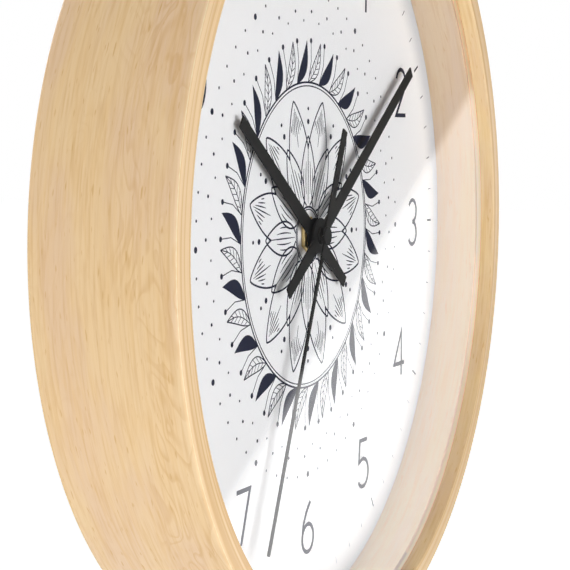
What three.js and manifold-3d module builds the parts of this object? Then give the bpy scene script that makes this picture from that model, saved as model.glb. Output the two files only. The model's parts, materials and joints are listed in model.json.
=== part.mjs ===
// Round wall clock: a deep bentwood frame, an acrylic lens, a printed dial, three hands and a quartz movement.
// Millimetres, +Z up. The clock faces -Y. The origin is on the axis of the hands, in the plane of the wall.
// Depths run back from the front of the frame, so a depth of FRAME_DEPTH lies in the plane of the wall.

import * as THREE from 'three';
import { mergeVertices } from 'three/addons/utils/BufferGeometryUtils.js';
import Module from 'manifold-3d';

const wasm = await Module();
wasm.setup();

// Frame
const FRAME_RADIUS = 127;
const FRAME_DEPTH = 43;
const FRAME_WALL = 5.5;
const FRONT_ROUND = 0.8;
const REAR_ROUND = 1;
const LIP_REACH = 2;
const LIP_THICKNESS = 5;
const LIP_ROUND = 0.4;

// Discs and rings that drop into the frame from behind
const SEAT_CLEARANCE = 0.3;
const LENS_THICKNESS = 2;
const SPACER_LENGTH = 15;
const SPACER_WALL = 1.7;
const DIAL_THICKNESS = 0.5;
const BOARD_THICKNESS = 3;
const SHAFT_HOLE_CLEARANCE = 0.2;

// Framer's tabs
const TAB_COUNT = 6;
const TAB_LENGTH = 11;
const TAB_WIDTH = 8;
const TAB_POINT_WIDTH = 4.8;
const TAB_THICKNESS = 0.4;
const TAB_BITE = 3;
const SLIT_CLEARANCE = 0.2;

// Hands: radii from the axis, widths across the blade
const HOUR_HAND = { tip: 62.6, tail: 29, tipWidth: 4.1, rootWidth: 5, tailWidth: 3.7 };
const MINUTE_HAND = { tip: 95.5, tail: 29, tipWidth: 3.7, rootWidth: 4.8, tailWidth: 3.7 };
const SECOND_HAND = { tip: 101.2, tail: 2, tipWidth: 1.4, rootWidth: 1.6, tailWidth: 1.6 };
const SECOND_TAIL = { tip: 2, tail: 36, tipWidth: 3.4, rootWidth: 3.4, tailWidth: 3.2 };
const HAND_THICKNESS = 0.5;
const HAND_PITCH = 1.9;
const HOUR_HAND_STANDOFF = 2.1;
const HUB_RADIUS = 5.6;
const COLLET_WALL = 1.1;
const COLLET_HEIGHT = 0.9;
const SECOND_BOSS_RADIUS = 3;
const SECOND_BOSS_HEIGHT = 1;
const SHAFT_PROUD = 0.2;
const HAND_FIT = 0.05;
const HAND_TURNS = { hour: 303.9, minute: 55.7, second: 204.6 };

// Concentric shafts, from the inside out
const SECONDS_ARBOR_RADIUS = 0.6;
const MINUTE_SHAFT_WALL = 1;
const HOUR_PIPE_WALL = 0.8;
const BUSHING_WALL = 1.32;
const RUNNING_CLEARANCE = 0.06;
const BUSHING_FLANGE_REACH = 1.5;
const FLANGE_FIT = 0.1;
const NUT_ACROSS_FLATS = 10.4;
const NUT_THICKNESS = 1.3;
const BUSHING_PROUD = 0.2;

// Hanger plate and washer between the board and the movement
const HANGER_THICKNESS = 0.6;
const HANGER_WIDTH = 18;
const HANGER_RISE = 4;
const HANGER_EYE_HEIGHT = 14;
const HANGER_EYE_RADIUS = 3.4;
const HANGER_WALL_GAP = 1;
const WASHER_THICKNESS = 0.5;
const WASHER_RADIUS = 9;

// Movement case
const BATTERY_DIAMETER = 14.5;
const BATTERY_LENGTH = 50.5;
const BATTERY_NUB_RADIUS = 2.75;
const BATTERY_NUB_LENGTH = 1.3;
const BATTERY_EDGE = 0.7;
const BATTERY_CLEARANCE = 0.25;
const CONTACT_ROOM = 1.55;
const CONTACT_THICKNESS = 0.4;
const CONTACT_HEIGHT = 11;
const CONTACT_WIDTH = 9;
const CONTACT_GAP = 0.1;
const CASE_WALL = 1.2;
const CASE_PLATE = 0.9;
const CASE_TOP = 28;
const CASE_CORNER = 3;
const DIVIDER_DROP = 10.5;
const COVER_THICKNESS = 1.2;
const COVER_CLEARANCE = 0.2;
const NOTCH_WIDTH = 16;
const NOTCH_DEPTH = 6;

// Screws of the rear cover
const SCREW_INSET = 3.6;
const SCREW_POST_RADIUS = 1.9;
const SCREW_RADIUS = 0.8;
const SCREW_LENGTH = 7;
const SCREW_HEAD_RADIUS = 1.5;
const SCREW_HEAD_HEIGHT = 1;
const SCREW_FIT = 0.05;
const SCREW_SEAT = 1;
const SCREW_BOSS_HEIGHT = 1.2;

// Wheel train: teeth, centres and layers
const TEETH = {
  cannonPinion: 8,
  minuteWheel: 24,
  minutePinion: 6,
  hourWheel: 24,
  centerWheel: 48,
  thirdPinion: 6,
  thirdWheel: 45,
  secondsPinion: 6,
  secondsWheel: 30,
  intermediatePinion: 6,
  intermediateWheel: 36,
  rotorPinion: 6,
};
const CENTRE_DISTANCE = 11;
const ROTOR_DISTANCE = 8.4;
const THIRD_BEARING = 15;
const INTERMEDIATE_BEARING = 75;
const MINUTE_WHEEL_BEARING = 135;
const ROTOR_BEARING = 25;
const ADDENDUM = 0.8;
const DEDENDUM = 1.2;
const TOOTH_ROOT_SHARE = 0.5;
const TOOTH_TIP_SHARE = 0.2;
const WHEEL_LAYERS = 6;
const WHEEL_THICKNESS = 1.2;
const LAYER_GAP = 0.4;
const ARBOR_RADIUS = 0.7;
const PIVOT_RADIUS = 0.45;
const PIVOT_CLEARANCE = 0.05;
const END_SHAKE = 0.2;
const PIVOT_SETBACK = 0.1;

// Bridge over the wheels, on staked posts
const BRIDGE_THICKNESS = 1.2;
const BRIDGE_MARGIN = 2.6;
const POST_RADIUS = 1.5;
const PEG_RADIUS = 0.9;
const PEG_CLEARANCE = 0.1;
const PEG_PROUD = 0.3;
const BRIDGE_LOWER_LEFT = -12.5;
const BRIDGE_LOWER_RIGHT = 16.5;
const BRIDGE_UPPER_RIGHT = [20.5, 12.5];
const BRIDGE_UPPER_LEFT = [-16, 20];

// Stepping motor
const MAGNET_RADIUS = 3;
const MAGNET_OVERHANG = 0.2;
const MAGNET_AIR_GAP = 0.5;
const STATOR_THICKNESS = 1;
const STATOR_BAND = 1.5;
const STATOR_PAD_RADIUS = 1.9;
const STATOR_BAR_RISE = 3.4;
const STATOR_LEFT_REACH = 19.5;
const STATOR_POST_GAP = 0.44;
const COIL_RISE = 9;
const CORE_HEIGHT = 2.4;
const CORE_THICKNESS = 1;
const COIL_RADIUS = 3;
const BOBBIN_WALL = 0.4;
const BOBBIN_FLANGE = 0.8;
const WINDING_DEPTH = 0.9;
const COIL_GAP = 0.1;
const PART_GAP = 0.3;

// Circuit board and crystal
const CIRCUIT_WIDTH = 7.6;
const CIRCUIT_HEIGHT = 22;
const CIRCUIT_THICKNESS = 1;
const CIRCUIT_WALL_GAP = 0.6;
const CIRCUIT_CENTRE_HEIGHT = 5;
const CIRCUIT_POST_SPACING = 16;
const CRYSTAL_RADIUS = 1.5;
const CRYSTAL_LENGTH = 8;

// Setting knob in its well
const KNOB_RADIUS = 6;
const KNOB_SERRATIONS = 24;
const KNOB_SERRATION_DEPTH = 0.5;
const KNOB_SETBACK = 0.3;
const KNOB_LEAST_THICKNESS = 1.9;
const KNOB_DISH_RADIUS = 3.6;
const KNOB_DISH_DEPTH = 0.7;
const KNOB_BOSS_RADIUS = 1.4;
const WELL_CLEARANCE = 1;
const WELL_WALL = 1;

// Facets and rounding
const SIDES_FOR_RADIUS = [[50, 60], [3.2, 24], [2.2, 18], [1.6, 16], [0, 10]];
const ROUND_STEPS = 3;
const OVERCUT = 1;
const MERGE_DISTANCE = 1e-4;
const FULL_TURN = 2 * Math.PI;

// Radii worked out from the driving sizes
const boreRadius = FRAME_RADIUS - FRAME_WALL;
const lipRadius = boreRadius - LIP_REACH;
const seatRadius = boreRadius - SEAT_CLEARANCE;
const minuteShaftBore = SECONDS_ARBOR_RADIUS + RUNNING_CLEARANCE;
const minuteShaftRadius = minuteShaftBore + MINUTE_SHAFT_WALL;
const hourPipeBore = minuteShaftRadius + RUNNING_CLEARANCE;
const hourPipeRadius = hourPipeBore + HOUR_PIPE_WALL;
const bushingBore = hourPipeRadius + RUNNING_CLEARANCE;
const bushingRadius = bushingBore + BUSHING_WALL;
const shaftHoleRadius = bushingRadius + SHAFT_HOLE_CLEARANCE;
const flangeRadius = bushingRadius + BUSHING_FLANGE_REACH;
const batteryRadius = BATTERY_DIAMETER / 2;
const wellRadius = KNOB_RADIUS + WELL_CLEARANCE;

// Depths worked out from the stack, front to back
const lensFront = LIP_THICKNESS;
const spacerFront = lensFront + LENS_THICKNESS;
const dialFront = spacerFront + SPACER_LENGTH;
const boardFront = dialFront + DIAL_THICKNESS;
const boardBack = boardFront + BOARD_THICKNESS;
const washerFront = boardBack + HANGER_THICKNESS;
const caseFront = washerFront + WASHER_THICKNESS;
const caseInside = caseFront + CASE_PLATE;
const hourHandBack = dialFront - HOUR_HAND_STANDOFF;
const minuteHandBack = hourHandBack - HAND_PITCH;
const secondHandBack = minuteHandBack - HAND_PITCH;
const nutFront = dialFront - NUT_THICKNESS;
const layerPitch = WHEEL_THICKNESS + LAYER_GAP;
const layerFront = (layer) => caseInside + LAYER_GAP + layer * layerPitch;
const layerBack = (layer) => layerFront(layer) + WHEEL_THICKNESS;
const bridgeFront = layerFront(WHEEL_LAYERS);
const bridgeBack = bridgeFront + BRIDGE_THICKNESS;
const wellFloorFront = bridgeBack + LAYER_GAP;
const wellFloorBack = wellFloorFront + WELL_WALL;
const knobFront = wellFloorBack + END_SHAKE;
const trainBack = knobFront + KNOB_LEAST_THICKNESS + KNOB_SETBACK;
const bayBack = caseInside + BATTERY_DIAMETER + 2 * BATTERY_CLEARANCE;
const caseBack = Math.max(trainBack, bayBack);
const coverFront = caseBack - COVER_THICKNESS;
const knobBack = caseBack - KNOB_SETBACK;
const statorFront = layerFront(2);
const statorBack = statorFront + STATOR_THICKNESS;
const coreBack = statorBack + CORE_THICKNESS;

// Places in the plane of the dial, as x and z
const polar = (radius, degrees) => {
  const turn = THREE.MathUtils.degToRad(degrees);
  return [radius * Math.cos(turn), radius * Math.sin(turn)];
};
const offset = ([x, z], [dx, dz]) => [x + dx, z + dz];
const AXIS = [0, 0];
const thirdAxis = polar(CENTRE_DISTANCE, THIRD_BEARING);
const intermediateAxis = polar(CENTRE_DISTANCE, INTERMEDIATE_BEARING);
const minuteWheelAxis = polar(CENTRE_DISTANCE, MINUTE_WHEEL_BEARING);
const rotorAxis = offset(intermediateAxis, polar(ROTOR_DISTANCE, ROTOR_BEARING));
const caseHalfWidth = BATTERY_LENGTH / 2 + CONTACT_ROOM + CASE_WALL;
const bayTop = -DIVIDER_DROP - CASE_WALL;
const bayBottom = bayTop - BATTERY_DIAMETER - 2 * BATTERY_CLEARANCE;
const caseBottom = bayBottom - CASE_WALL;
const batteryHeight = (bayTop + bayBottom) / 2;
const batteryDepth = caseInside + BATTERY_CLEARANCE + batteryRadius;
const screwX = caseHalfWidth - SCREW_INSET;
const screwPlaces = [
  [-screwX, CASE_TOP - SCREW_INSET],
  [screwX, CASE_TOP - SCREW_INSET],
  [-screwX, -DIVIDER_DROP + SCREW_POST_RADIUS],
  [screwX, -DIVIDER_DROP + SCREW_POST_RADIUS],
];
const bridgeLowerHeight = -DIVIDER_DROP + BRIDGE_MARGIN + PART_GAP;
const bridgePosts = [
  [BRIDGE_LOWER_LEFT, bridgeLowerHeight],
  [BRIDGE_LOWER_RIGHT, bridgeLowerHeight],
  BRIDGE_UPPER_RIGHT,
  BRIDGE_UPPER_LEFT,
];
const statorBarHeight = rotorAxis[1] + STATOR_BAR_RISE;
const coilHeight = rotorAxis[1] + COIL_RISE;
const statorLeft = rotorAxis[0] - STATOR_LEFT_REACH;
const statorRight = screwX - SCREW_POST_RADIUS - STATOR_POST_GAP - STATOR_PAD_RADIUS;
const corePegs = [[statorLeft, coilHeight], [statorRight, coilHeight]];
const circuitX = -caseHalfWidth + CASE_WALL + CIRCUIT_WALL_GAP + CIRCUIT_WIDTH / 2;
const circuitPosts = [-1, 1].map((side) => [
  circuitX,
  CIRCUIT_CENTRE_HEIGHT + (side * CIRCUIT_POST_SPACING) / 2,
]);

// Finishes
const finish = (color, roughness, metalness) => new THREE.MeshStandardMaterial({ color, roughness, metalness });
const MAPLE = finish(0xe4c398, 0.5, 0);
const ACRYLIC = finish(0xf4f7f8, 0.05, 0);
const CARD = finish(0xededee, 0.8, 0);
const HARDBOARD = finish(0x9c7450, 0.85, 0);
const STEEL = finish(0xb8bbbf, 0.35, 1);
const BLACK_PAINT = finish(0x333333, 0.55, 0.2);
const BRASS = finish(0xaf9b69, 0.35, 1);
const RUBBER = finish(0x202022, 0.9, 0);
const BLACK_PLASTIC = finish(0x242527, 0.6, 0);
const WHITE_PLASTIC = finish(0xe9e6dc, 0.55, 0);
const MAGNET = finish(0x5c5b5a, 0.4, 0.8);
const COPPER = finish(0xb0673a, 0.4, 0.9);
const CIRCUIT_GREEN = finish(0x2f6b45, 0.6, 0);
const BATTERY_WRAP = finish(0x8d9298, 0.4, 0.3);

const clock = new THREE.Group();

// Solids

const yAt = (depth) => depth - FRAME_DEPTH;

const sidesFor = (radius) => SIDES_FOR_RADIUS.find(([least]) => radius > least)[1];

// Makes a closed mesh into a solid. Faces of no area are dropped, and an inside-out mesh is turned over.
function toSolid(geometry) {
  const bare = new THREE.BufferGeometry();
  bare.setAttribute('position', geometry.getAttribute('position'));
  bare.setIndex(geometry.getIndex());
  const merged = mergeVertices(bare, MERGE_DISTANCE);
  const place = merged.getAttribute('position');
  const corner = (index) => new THREE.Vector3().fromBufferAttribute(place, index);
  const triangles = [];
  let volume = 0;
  for (let i = 0; i < merged.index.count; i += 3) {
    const [a, b, c] = [0, 1, 2].map((k) => merged.index.getX(i + k));
    if (a === b || b === c || c === a) continue;
    triangles.push([a, b, c]);
    volume += corner(a).dot(corner(b).cross(corner(c)));
  }
  const outward = volume > 0 ? triangles : triangles.map(([a, b, c]) => [a, c, b]);
  return new wasm.Manifold(
    new wasm.Mesh({
      numProp: 3,
      vertProperties: new Float32Array(place.array),
      triVerts: Uint32Array.from(outward.flat()),
    }),
  );
}

function circle(radius, [x, z] = AXIS, sides = sidesFor(radius)) {
  return Array.from({ length: sides }, (_, i) => {
    const turn = (FULL_TURN * (i + 0.5)) / sides;
    return new THREE.Vector2(x + radius * Math.cos(turn), z + radius * Math.sin(turn));
  });
}

// A flat piece that lies across the axis: its outline is in x and z, and it runs from one depth to another.
function slab(outline, front, back) {
  const geometry = new THREE.ExtrudeGeometry(new THREE.Shape(outline), {
    depth: back - front,
    bevelEnabled: false,
  });
  const place = geometry.getAttribute('position');
  for (let i = 0; i < place.count; i += 1) {
    const atBack = place.getZ(i) === 0;
    place.setXYZ(i, place.getX(i), yAt(atBack ? back : front), place.getY(i));
  }
  return toSolid(geometry);
}

const rod = (radius, front, back, centre = AXIS) => slab(circle(radius, centre), front, back);

// A turned piece: its profile is a list of radii and depths, and its axis stands across the dial.
function turned(profile, centre = AXIS) {
  const closed = profile[0][0] === 0 ? profile : [...profile, profile[0]];
  const points = closed.map(([radius, depth]) => new THREE.Vector2(radius, yAt(depth)));
  const widest = Math.max(...profile.map(([radius]) => radius));
  const geometry = new THREE.LatheGeometry(points, sidesFor(widest));
  return toSolid(geometry.translate(centre[0], 0, centre[1]));
}

const ring = (outer, inner, front, back, centre = AXIS) =>
  turned([[inner, front], [outer, front], [outer, back], [inner, back]], centre);

// A turned piece that lies along x, with its profile as radii and places on x.
function turnedAlongX(profile, height, depth) {
  const closed = profile[0][0] === 0 ? profile : [...profile, profile[0]];
  const points = closed.map(([radius, x]) => new THREE.Vector2(radius, x));
  const widest = Math.max(...profile.map(([radius]) => radius));
  const geometry = new THREE.LatheGeometry(points, sidesFor(widest)).rotateZ(-Math.PI / 2);
  return toSolid(geometry.translate(0, yAt(depth), height));
}

function block([left, right], [bottom, top], front, back) {
  const corners = [[left, bottom], [right, bottom], [right, top], [left, top]];
  return slab(corners.map(([x, z]) => new THREE.Vector2(x, z)), front, back);
}

function roundedBox([left, right], [bottom, top], corner) {
  const outline = new THREE.Shape();
  outline.absarc(right - corner, top - corner, corner, 0, FULL_TURN / 4);
  outline.absarc(left + corner, top - corner, corner, FULL_TURN / 4, FULL_TURN / 2);
  outline.absarc(left + corner, bottom + corner, corner, FULL_TURN / 2, (3 * FULL_TURN) / 4);
  outline.absarc(right - corner, bottom + corner, corner, (3 * FULL_TURN) / 4, FULL_TURN);
  return outline.getPoints(ROUND_STEPS);
}

// The band that a string would make when drawn tight round a set of discs.
function bandAround(discs) {
  const points = discs.flatMap(([centre, radius]) => circle(radius, centre));
  points.sort((a, b) => a.x - b.x || a.y - b.y);
  const turnsLeft = (a, b, c) => (b.x - a.x) * (c.y - a.y) - (b.y - a.y) * (c.x - a.x) > MERGE_DISTANCE;
  const half = (list) => {
    const kept = [];
    for (const point of list) {
      while (kept.length > 1 && !turnsLeft(kept.at(-2), kept.at(-1), point)) kept.pop();
      kept.push(point);
    }
    return kept.slice(0, -1);
  };
  return [...half(points), ...half([...points].reverse())];
}

const joined = (...solids) => solids.reduce((whole, next) => whole.add(next));
const cut = (whole, ...tools) => tools.reduce((left, tool) => left.subtract(tool), whole);

function addPiece(name, solid, material) {
  const { vertProperties, triVerts } = solid.getMesh();
  const geometry = new THREE.BufferGeometry();
  geometry.setAttribute('position', new THREE.BufferAttribute(vertProperties, 3));
  geometry.setIndex(new THREE.BufferAttribute(triVerts, 1));
  const mesh = new THREE.Mesh(geometry, material);
  mesh.name = name;
  clock.add(mesh);
  return mesh;
}

// Frame and the stack that it holds

function framePiece() {
  const arc = (radius, depth, size, from, to) =>
    Array.from({ length: ROUND_STEPS + 1 }, (_, i) => {
      const turn = THREE.MathUtils.degToRad(from + ((to - from) * i) / ROUND_STEPS);
      return [radius + size * Math.cos(turn), depth - size * Math.sin(turn)];
    });
  const wood = turned([
    [boreRadius, FRAME_DEPTH],
    ...arc(FRAME_RADIUS - REAR_ROUND, FRAME_DEPTH - REAR_ROUND, REAR_ROUND, -90, 0),
    ...arc(FRAME_RADIUS - FRONT_ROUND, FRONT_ROUND, FRONT_ROUND, 0, 90),
    ...arc(lipRadius + LIP_ROUND, LIP_ROUND, LIP_ROUND, 90, 180),
    [lipRadius, LIP_THICKNESS],
    [boreRadius, LIP_THICKNESS],
  ]);
  return cut(wood, ...tabTurns.map(tabSlit));
}

const tabTurns = Array.from({ length: TAB_COUNT }, (_, i) => ((i + 0.5) * FULL_TURN) / TAB_COUNT);

function tabSlit(turn) {
  const length = TAB_BITE + SLIT_CLEARANCE + OVERCUT;
  const slit = new THREE.BoxGeometry(
    TAB_WIDTH + 2 * SLIT_CLEARANCE,
    TAB_THICKNESS + 2 * SLIT_CLEARANCE,
    length,
  );
  slit.translate(0, yAt(boardBack + TAB_THICKNESS / 2), boreRadius - OVERCUT + length / 2);
  return toSolid(slit.rotateY(turn));
}

function addTabs() {
  const halfWidth = TAB_WIDTH / 2;
  const halfPoint = TAB_POINT_WIDTH / 2;
  const outer = boreRadius + TAB_BITE;
  const inner = outer - TAB_LENGTH;
  const outline = [[-halfWidth, inner], [halfWidth, inner], [halfPoint, outer], [-halfPoint, outer]];
  const points = outline.map(([x, z]) => new THREE.Vector2(x, z));
  tabTurns.forEach((turn, i) => {
    const tab = addPiece(`retaining_tab_${i + 1}`, slab(points, boardBack, boardBack + TAB_THICKNESS), STEEL);
    tab.rotation.y = turn;
  });
}

function addStack() {
  addPiece('frame_ring', framePiece(), MAPLE);
  addPiece('lens', rod(seatRadius, lensFront, spacerFront), ACRYLIC);
  addPiece('spacer_ring', ring(seatRadius, seatRadius - SPACER_WALL, spacerFront, dialFront), MAPLE);
  addPiece('dial', ring(seatRadius, shaftHoleRadius, dialFront, boardFront), CARD);
  addPiece('back_board', ring(seatRadius, shaftHoleRadius, boardFront, boardBack), HARDBOARD);
}

// Hands, drawn upright and then turned to the time shown

function handBlade({ tip, tail, tipWidth, rootWidth, tailWidth }, back) {
  const right = [[tailWidth / 2, -tail], [rootWidth / 2, 0], [tipWidth / 2, tip]];
  const left = right.map(([x, z]) => [-x, z]).reverse();
  const outline = [...right, ...left].map(([x, z]) => new THREE.Vector2(x, z));
  return slab(outline, back - HAND_THICKNESS, back);
}

function pressedHand(shape, back, shaftRadius) {
  const bore = shaftRadius + HAND_FIT;
  const hub = rod(HUB_RADIUS, back - HAND_THICKNESS, back);
  const collet = rod(bore + COLLET_WALL, back - COLLET_HEIGHT, back);
  return cut(joined(handBlade(shape, back), hub, collet), rod(bore, back - FRAME_DEPTH, back + OVERCUT));
}

function secondHand() {
  const boss = rod(SECOND_BOSS_RADIUS, secondHandBack - SECOND_BOSS_HEIGHT, secondHandBack);
  const bore = rod(SECONDS_ARBOR_RADIUS + HAND_FIT, secondHandBack - HAND_THICKNESS, secondHandBack + OVERCUT);
  const pointer = handBlade(SECOND_HAND, secondHandBack);
  const tail = handBlade(SECOND_TAIL, secondHandBack);
  return cut(joined(pointer, tail, boss), bore);
}

function addHands() {
  const hourHand = pressedHand(HOUR_HAND, hourHandBack, hourPipeRadius);
  const hour = addPiece('hour_hand', hourHand, BLACK_PAINT);
  hour.rotation.y = THREE.MathUtils.degToRad(HAND_TURNS.hour);
  const minuteHand = pressedHand(MINUTE_HAND, minuteHandBack, minuteShaftRadius);
  const minute = addPiece('minute_hand', minuteHand, BLACK_PAINT);
  minute.rotation.y = THREE.MathUtils.degToRad(HAND_TURNS.minute);
  const second = addPiece('second_hand', secondHand(), BLACK_PAINT);
  second.rotation.y = THREE.MathUtils.degToRad(HAND_TURNS.second);
}

// Fixing of the movement through the board

function addFixing() {
  const bushing = turned([
    [bushingBore, nutFront - BUSHING_PROUD],
    [bushingRadius, nutFront - BUSHING_PROUD],
    [bushingRadius, caseFront],
    [flangeRadius, caseFront],
    [flangeRadius, caseInside],
    [bushingBore, caseInside],
  ]);
  addPiece('shaft_bushing', bushing, BRASS);
  const nutCorner = NUT_ACROSS_FLATS / Math.sqrt(3);
  const nut = slab(circle(nutCorner, AXIS, 6), nutFront, dialFront);
  const thread = rod(bushingRadius + HAND_FIT, nutFront - OVERCUT, dialFront + OVERCUT);
  addPiece('shaft_nut', cut(nut, thread), BRASS);
  addPiece('rubber_washer', ring(WASHER_RADIUS, shaftHoleRadius, washerFront, caseFront), RUBBER);
  addPiece('hanger_plate', hangerPlate(), STEEL);
}

// A strip clamped behind the board, bent back over the movement and up again to an eye for a nail.
function hangerPlate() {
  const ledge = CASE_TOP + HANGER_RISE;
  const top = ledge + HANGER_EYE_HEIGHT;
  const eyeBack = FRAME_DEPTH - HANGER_WALL_GAP;
  const half = HANGER_WIDTH / 2;
  const footBand = bandAround([[AXIS, half], [[0, ledge + HANGER_THICKNESS - half], half]]);
  const foot = slab(footBand, boardBack, washerFront);
  const flat = block([-half, half], [0, ledge + HANGER_THICKNESS], boardBack, washerFront);
  const shelf = block([-half, half], [ledge, ledge + HANGER_THICKNESS], boardBack, eyeBack);
  const eyeFront = eyeBack - HANGER_THICKNESS;
  const eyeCentre = [0, top - half];
  const tab = block([-half, half], [ledge, top - half], eyeFront, eyeBack);
  const through = [eyeFront - OVERCUT, eyeBack + OVERCUT];
  const belowLedge = block([-half, half], [ledge - HANGER_WIDTH, ledge], ...through);
  const tabTop = cut(rod(half, eyeFront, eyeBack, eyeCentre), belowLedge);
  const eye = rod(HANGER_EYE_RADIUS, ...through, eyeCentre);
  const shaftHole = rod(shaftHoleRadius, boardBack - OVERCUT, washerFront + OVERCUT);
  return cut(joined(foot, flat, shelf, tab, tabTop), eye, shaftHole);
}

// Movement case

const pivotHole = (centre) =>
  rod(PIVOT_RADIUS + PIVOT_CLEARANCE, caseFront - OVERCUT, caseInside + OVERCUT, centre);

// A post on the front plate, ending in a thin peg that goes through the piece it carries.
const stakedPost = (centre, seat, end) =>
  joined(rod(POST_RADIUS, caseFront, seat, centre), rod(PEG_RADIUS, caseFront, end + PEG_PROUD, centre));

const caseOutline = () => roundedBox([-caseHalfWidth, caseHalfWidth], [caseBottom, CASE_TOP], CASE_CORNER);

function frontCase() {
  const inside = caseHalfWidth - CASE_WALL;
  const openBack = caseBack + OVERCUT;
  const chamber = roundedBox([-inside, inside], [-DIVIDER_DROP, CASE_TOP - CASE_WALL], CASE_CORNER - CASE_WALL);
  const shell = cut(
    slab(caseOutline(), caseFront, caseBack),
    slab(chamber, caseInside, openBack),
    block([-inside, inside], [bayBottom, bayTop], caseInside, openBack),
    block(
      [-caseHalfWidth - OVERCUT, caseHalfWidth + OVERCUT],
      [bayTop, CASE_TOP + OVERCUT],
      coverFront,
      openBack,
    ),
    block(
      [-NOTCH_WIDTH / 2, NOTCH_WIDTH / 2],
      [caseBottom - OVERCUT, bayBottom + OVERCUT],
      caseBack - NOTCH_DEPTH,
      openBack,
    ),
  );
  const screwPostBack = coverFront - SCREW_BOSS_HEIGHT;
  const posts = [
    ...bridgePosts.map((place) => stakedPost(place, bridgeFront, bridgeBack)),
    ...corePegs.map((place) => stakedPost(place, statorFront, coreBack)),
    ...circuitPosts.map((place) => stakedPost(place, statorFront, statorFront + CIRCUIT_THICKNESS)),
    ...screwPlaces.map((place) => rod(SCREW_POST_RADIUS, caseFront, screwPostBack, place)),
  ];
  const holes = [
    ...screwPlaces.map((place) =>
      rod(SCREW_RADIUS + SCREW_FIT, screwPostBack - SCREW_LENGTH, screwPostBack + OVERCUT, place)),
    ...[thirdAxis, intermediateAxis, minuteWheelAxis, rotorAxis].map(pivotHole),
    rod(flangeRadius + FLANGE_FIT, caseFront - OVERCUT, caseInside + OVERCUT),
  ];
  return cut(joined(shell, ...posts), ...holes);
}

function rearCover() {
  const screwSeat = coverFront - SCREW_BOSS_HEIGHT + SCREW_SEAT;
  const plate = slab(
    roundedBox([-caseHalfWidth, caseHalfWidth], [bayTop + COVER_CLEARANCE, CASE_TOP], CASE_CORNER),
    coverFront,
    caseBack,
  );
  const bosses = screwPlaces.map((place) =>
    rod(SCREW_POST_RADIUS, coverFront - SCREW_BOSS_HEIGHT, caseBack, place));
  const well = rod(wellRadius + WELL_WALL, wellFloorFront, caseBack, minuteWheelAxis);
  const cuts = screwPlaces.flatMap((place) => [
    rod(SCREW_RADIUS + SCREW_FIT, coverFront - SCREW_BOSS_HEIGHT - OVERCUT, caseBack, place),
    rod(SCREW_HEAD_RADIUS + SCREW_FIT, screwSeat, caseBack + OVERCUT, place),
  ]);
  return cut(
    joined(plate, ...bosses, well),
    ...cuts,
    rod(wellRadius, wellFloorBack, caseBack + OVERCUT, minuteWheelAxis),
    rod(ARBOR_RADIUS + PART_GAP, wellFloorFront - OVERCUT, wellFloorBack + OVERCUT, minuteWheelAxis),
  );
}

function addCase() {
  addPiece('front_case', frontCase(), BLACK_PLASTIC);
  addPiece('rear_cover', rearCover(), BLACK_PLASTIC);
  const headFront = coverFront - SCREW_BOSS_HEIGHT + SCREW_SEAT;
  const shankFront = coverFront - SCREW_BOSS_HEIGHT - SCREW_LENGTH + SCREW_SEAT;
  screwPlaces.forEach((place, i) => {
    const screw = turned(
      [
        [0, shankFront],
        [SCREW_RADIUS, shankFront],
        [SCREW_RADIUS, headFront],
        [SCREW_HEAD_RADIUS, headFront],
        [SCREW_HEAD_RADIUS, headFront + SCREW_HEAD_HEIGHT],
        [0, headFront + SCREW_HEAD_HEIGHT],
      ],
      place,
    );
    addPiece(`cover_screw_${i + 1}`, screw, STEEL);
  });
  addPiece('train_bridge', trainBridge(), WHITE_PLASTIC);
}

function trainBridge() {
  const pivots = [AXIS, thirdAxis, intermediateAxis, rotorAxis];
  const outline = bandAround([...bridgePosts, rotorAxis].map((place) => [place, BRIDGE_MARGIN]));
  const hole = (radius, place) => rod(radius, bridgeFront - OVERCUT, bridgeBack + OVERCUT, place);
  return cut(
    slab(outline, bridgeFront, bridgeBack),
    ...pivots.map((place) => hole(PIVOT_RADIUS + PIVOT_CLEARANCE, place)),
    ...bridgePosts.map((place) => hole(PEG_RADIUS + PEG_CLEARANCE, place)),
    hole(ARBOR_RADIUS + RUNNING_CLEARANCE, minuteWheelAxis),
  );
}

// Wheels. A wheel's module follows from the distance between the centres and from both counts of teeth.

const moduleFor = (distance, teeth, mate) => (2 * distance) / (teeth + mate);

function gear(teeth, module, layer, centre, toothAt) {
  const pitch = FULL_TURN / teeth;
  const root = module * (teeth / 2 - DEDENDUM);
  const tip = module * (teeth / 2 + ADDENDUM);
  const outline = [];
  for (let i = 0; i < teeth; i += 1) {
    const middle = toothAt + i * pitch;
    const corners = [
      [root, -TOOTH_ROOT_SHARE],
      [tip, -TOOTH_TIP_SHARE],
      [tip, TOOTH_TIP_SHARE],
      [root, TOOTH_ROOT_SHARE],
    ];
    for (const [radius, share] of corners) {
      const turn = middle + (share * pitch) / 2;
      outline.push(new THREE.Vector2(centre[0] + radius * Math.cos(turn), centre[1] + radius * Math.sin(turn)));
    }
  }
  return slab(outline, layerFront(layer), layerBack(layer));
}

// Two gears in mesh: a tooth of the first stands in a gap of the second, on the line between their centres.
function meshedPair([firstTeeth, firstCentre], [secondTeeth, secondCentre], layer) {
  const [dx, dz] = [secondCentre[0] - firstCentre[0], secondCentre[1] - firstCentre[1]];
  const module = moduleFor(Math.hypot(dx, dz), firstTeeth, secondTeeth);
  const line = Math.atan2(dz, dx);
  const gapTurn = line + FULL_TURN / 2 + FULL_TURN / secondTeeth / 2;
  return [
    gear(firstTeeth, module, layer, firstCentre, line),
    gear(secondTeeth, module, layer, secondCentre, gapTurn),
  ];
}

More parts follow.
